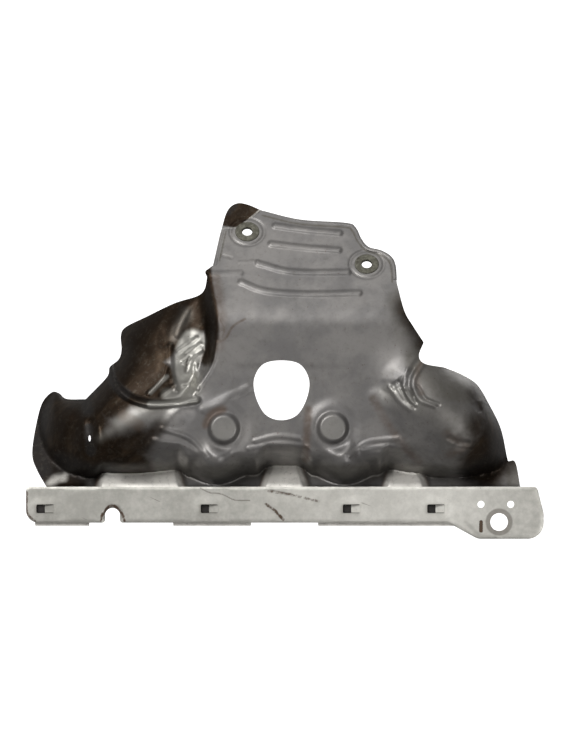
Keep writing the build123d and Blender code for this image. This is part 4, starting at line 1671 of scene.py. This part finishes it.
@dataclass
class Eyelet:
    """A flanged eyelet in the neck, rolled over behind it."""

    node: str
    place: Point
    shield: ShieldPressing
    bore: float = 7.0
    flange: float = 16.5
    wall: float = 0.7
    roll: float = 11.5
    clearance: float = 0.1
    turns: int = 56

    def profile(self) -> np.ndarray:
        """Radius and height of the section's points, from the bore round the flange and back.

        Returns:
            One row of radius and height for each point.
        """
        bore, barrel = self.bore / 2, self.bore / 2 + self.wall
        front = self.clearance
        back = -self.shield.sheet - self.clearance
        rim = self.flange / 2
        corners = {
            (bore, back - self.wall): 0.3,
            (self.roll / 2, back - self.wall): 0.3,
            (self.roll / 2, back): 0.25,
            (barrel, back): 0.1,
            (barrel, front): 0.1,
            (rim, front): 0.25,
            (rim, front + self.wall): 0.4,
            (bore, front + self.wall): 0.45,
        }
        return rounded_loop(corners, 0.15)

    def build(self, finish: bpy.types.Material) -> bpy.types.Object:
        """Turns the section about the bore's axis and sets it in the neck.

        Args:
            finish: The eyelet's material.

        Returns:
            The new piece.
        """
        section = self.profile()
        angles = np.linspace(0, 2 * pi, self.turns, endpoint=False)
        radius, height = section[:, 0], section[:, 1]
        lean = radians(self.shield.neck_lean)
        along = np.array([1.0, 0.0, 0.0])
        up = np.array([0.0, sin(lean), cos(lean)])
        out = np.array([0.0, -cos(lean), sin(lean)])
        slope = (self.place[1] - self.shield.neck_foot) / cos(lean)
        foot = np.array([self.place[0] - BOLT_U, self.shield.seat_gap - self.shield.body_depth,
                         self.shield.neck_foot])
        middle = foot + up * slope + height[:, None] * out
        rings = [middle + radius[:, None] * (cos(a) * along + sin(a) * up) for a in angles]
        size = len(section)
        faces = []
        for turn in range(self.turns):
            here, after = turn * size, (turn + 1) % self.turns * size
            for i in range(size):
                following = (i + 1) % size
                faces.append((here + i, here + following, after + following, after + i))
        mesh = bpy.data.meshes.new(self.node + "_rolled")
        mesh.from_pydata((np.vstack(rings) * MM).tolist(), [], faces)
        mesh.shade_smooth()
        mesh.materials.append(finish)
        return placed(mesh.name, mesh)


@dataclass
class Studio:
    """White sweep, soft lights and the camera in front of the shield."""

    view_u: float = 3.06
    view_v: float = 103.0
    view_width: float = 387.6
    distance: float = 3600.0
    sensor: float = 36.0
    floor: float = -165.0
    wall: float = 4400.0
    sweep: float = 600.0
    half_width: float = 9000.0
    reach: float = 9000.0
    steps: int = 12

    def build(self) -> None:
        """Makes the sweep, the lights, the world and the camera."""
        self._sweep()
        self._light("key", (-900.0, -1700.0, 1150.0), 900.0, 40.0)
        self._light("fill", (1300.0, -1900.0, -600.0), 1300.0, 18.0)
        self._light("back", (500.0, 1900.0, 900.0), 1200.0, 30.0)
        self._light("top", (100.0, -500.0, 1900.0), 1200.0, 8.0)
        self._world()
        self._camera()
        bpy.context.scene.view_settings.view_transform = "Standard"

    def _sweep(self) -> None:
        """Floor that curves up into a wall behind the part."""
        turn = [(self.wall - self.sweep + self.sweep * sin(a), self.floor + self.sweep * (1 - cos(a)))
                for a in np.linspace(0, pi / 2, self.steps)]
        profile = [(-self.reach, self.floor), *turn, (self.wall, self.reach)]
        points = [(side * self.half_width * MM, y * MM, z * MM) for y, z in profile for side in (-1, 1)]
        faces = [(2 * i, 2 * i + 1, 2 * i + 3, 2 * i + 2) for i in range(len(profile) - 1)]
        mesh = bpy.data.meshes.new("sweep")
        mesh.from_pydata(points, [], faces)
        mesh.shade_smooth()
        shader = Shader("sweep_white")
        shader.set(Base_Color=(0.86, 0.86, 0.86), Roughness=0.9, Emission_Color=(1.0, 1.0, 1.0),
                   Emission_Strength=1.0)
        mesh.materials.append(shader.material)
        sweep = placed("sweep", mesh)
        sweep.visible_glossy = False
        sweep.visible_diffuse = False

    def _light(self, name: str, place: Point, size: float, power: float) -> None:
        """A square soft light that faces the part's middle.

        Args:
            name: The light's name.
            place: Its place about the part's middle, in millimetres.
            size: Its side, in millimetres.
            power: Its power in watts.
        """
        lamp = bpy.data.lights.new(name, "AREA")
        lamp.size = size * MM
        lamp.energy = power
        light = placed(name, lamp)
        middle = Vector(((self.view_u - BOLT_U) * MM, 0.0, self.view_v * MM))
        light.location = middle + Vector(place) * MM
        light.rotation_euler = (middle - light.location).to_track_quat("-Z", "Y").to_euler()

    @staticmethod
    def _world() -> None:
        """Even pale surroundings."""
        world = bpy.data.worlds.new("surroundings")
        world.use_nodes = True
        background = world.node_tree.nodes["Background"]
        background.inputs["Color"].default_value = (1.0, 0.99, 0.98, 1.0)
        background.inputs["Strength"].default_value = 0.36
        bpy.context.scene.world = world

    def _camera(self) -> None:
        """Camera straight in front of the part, at the photograph's framing."""
        lens = bpy.data.cameras.new("camera")
        lens.sensor_fit = "HORIZONTAL"
        lens.sensor_width = self.sensor
        lens.lens = self.sensor * self.distance / self.view_width
        lens.clip_end = 100.0
        camera = placed("camera", lens)
        camera.location = ((self.view_u - BOLT_U) * MM, -self.distance * MM, self.view_v * MM)
        camera.rotation_euler = (pi / 2, 0.0, 0.0)
        bpy.context.scene.camera = camera


def carry(pieces: Sequence[bpy.types.Object], node: str) -> None:
    """Lets pieces stand for a node of the frame.

    Args:
        pieces: The new pieces.
        node: The node that they replace.
    """
    for piece in pieces:
        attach(piece, ROOT_BODY)
        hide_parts(node)
        LOG.info("%s: %d faces, replaces %s", piece.name, len(piece.data.polygons), node)


def main() -> None:
    """Builds every piece, then the studio, and notes the size of the dressed part."""
    logging.basicConfig(level=logging.INFO, format="%(name)s: %(message)s")
    shield = ShieldPressing()
    carry(shield.build(SheetFinish().material()), "shield_pressing")
    carry(MountingRail().build(RailFinish().material()), "mounting_rail")
    olive = EyeletFinish().material()
    for node, place in zip(("left_eyelet", "right_eyelet"), shield.eyelets):
        carry([Eyelet(node, place, shield).build(olive)], node)
    Studio().build()


if __name__ == "__main__":
    main()
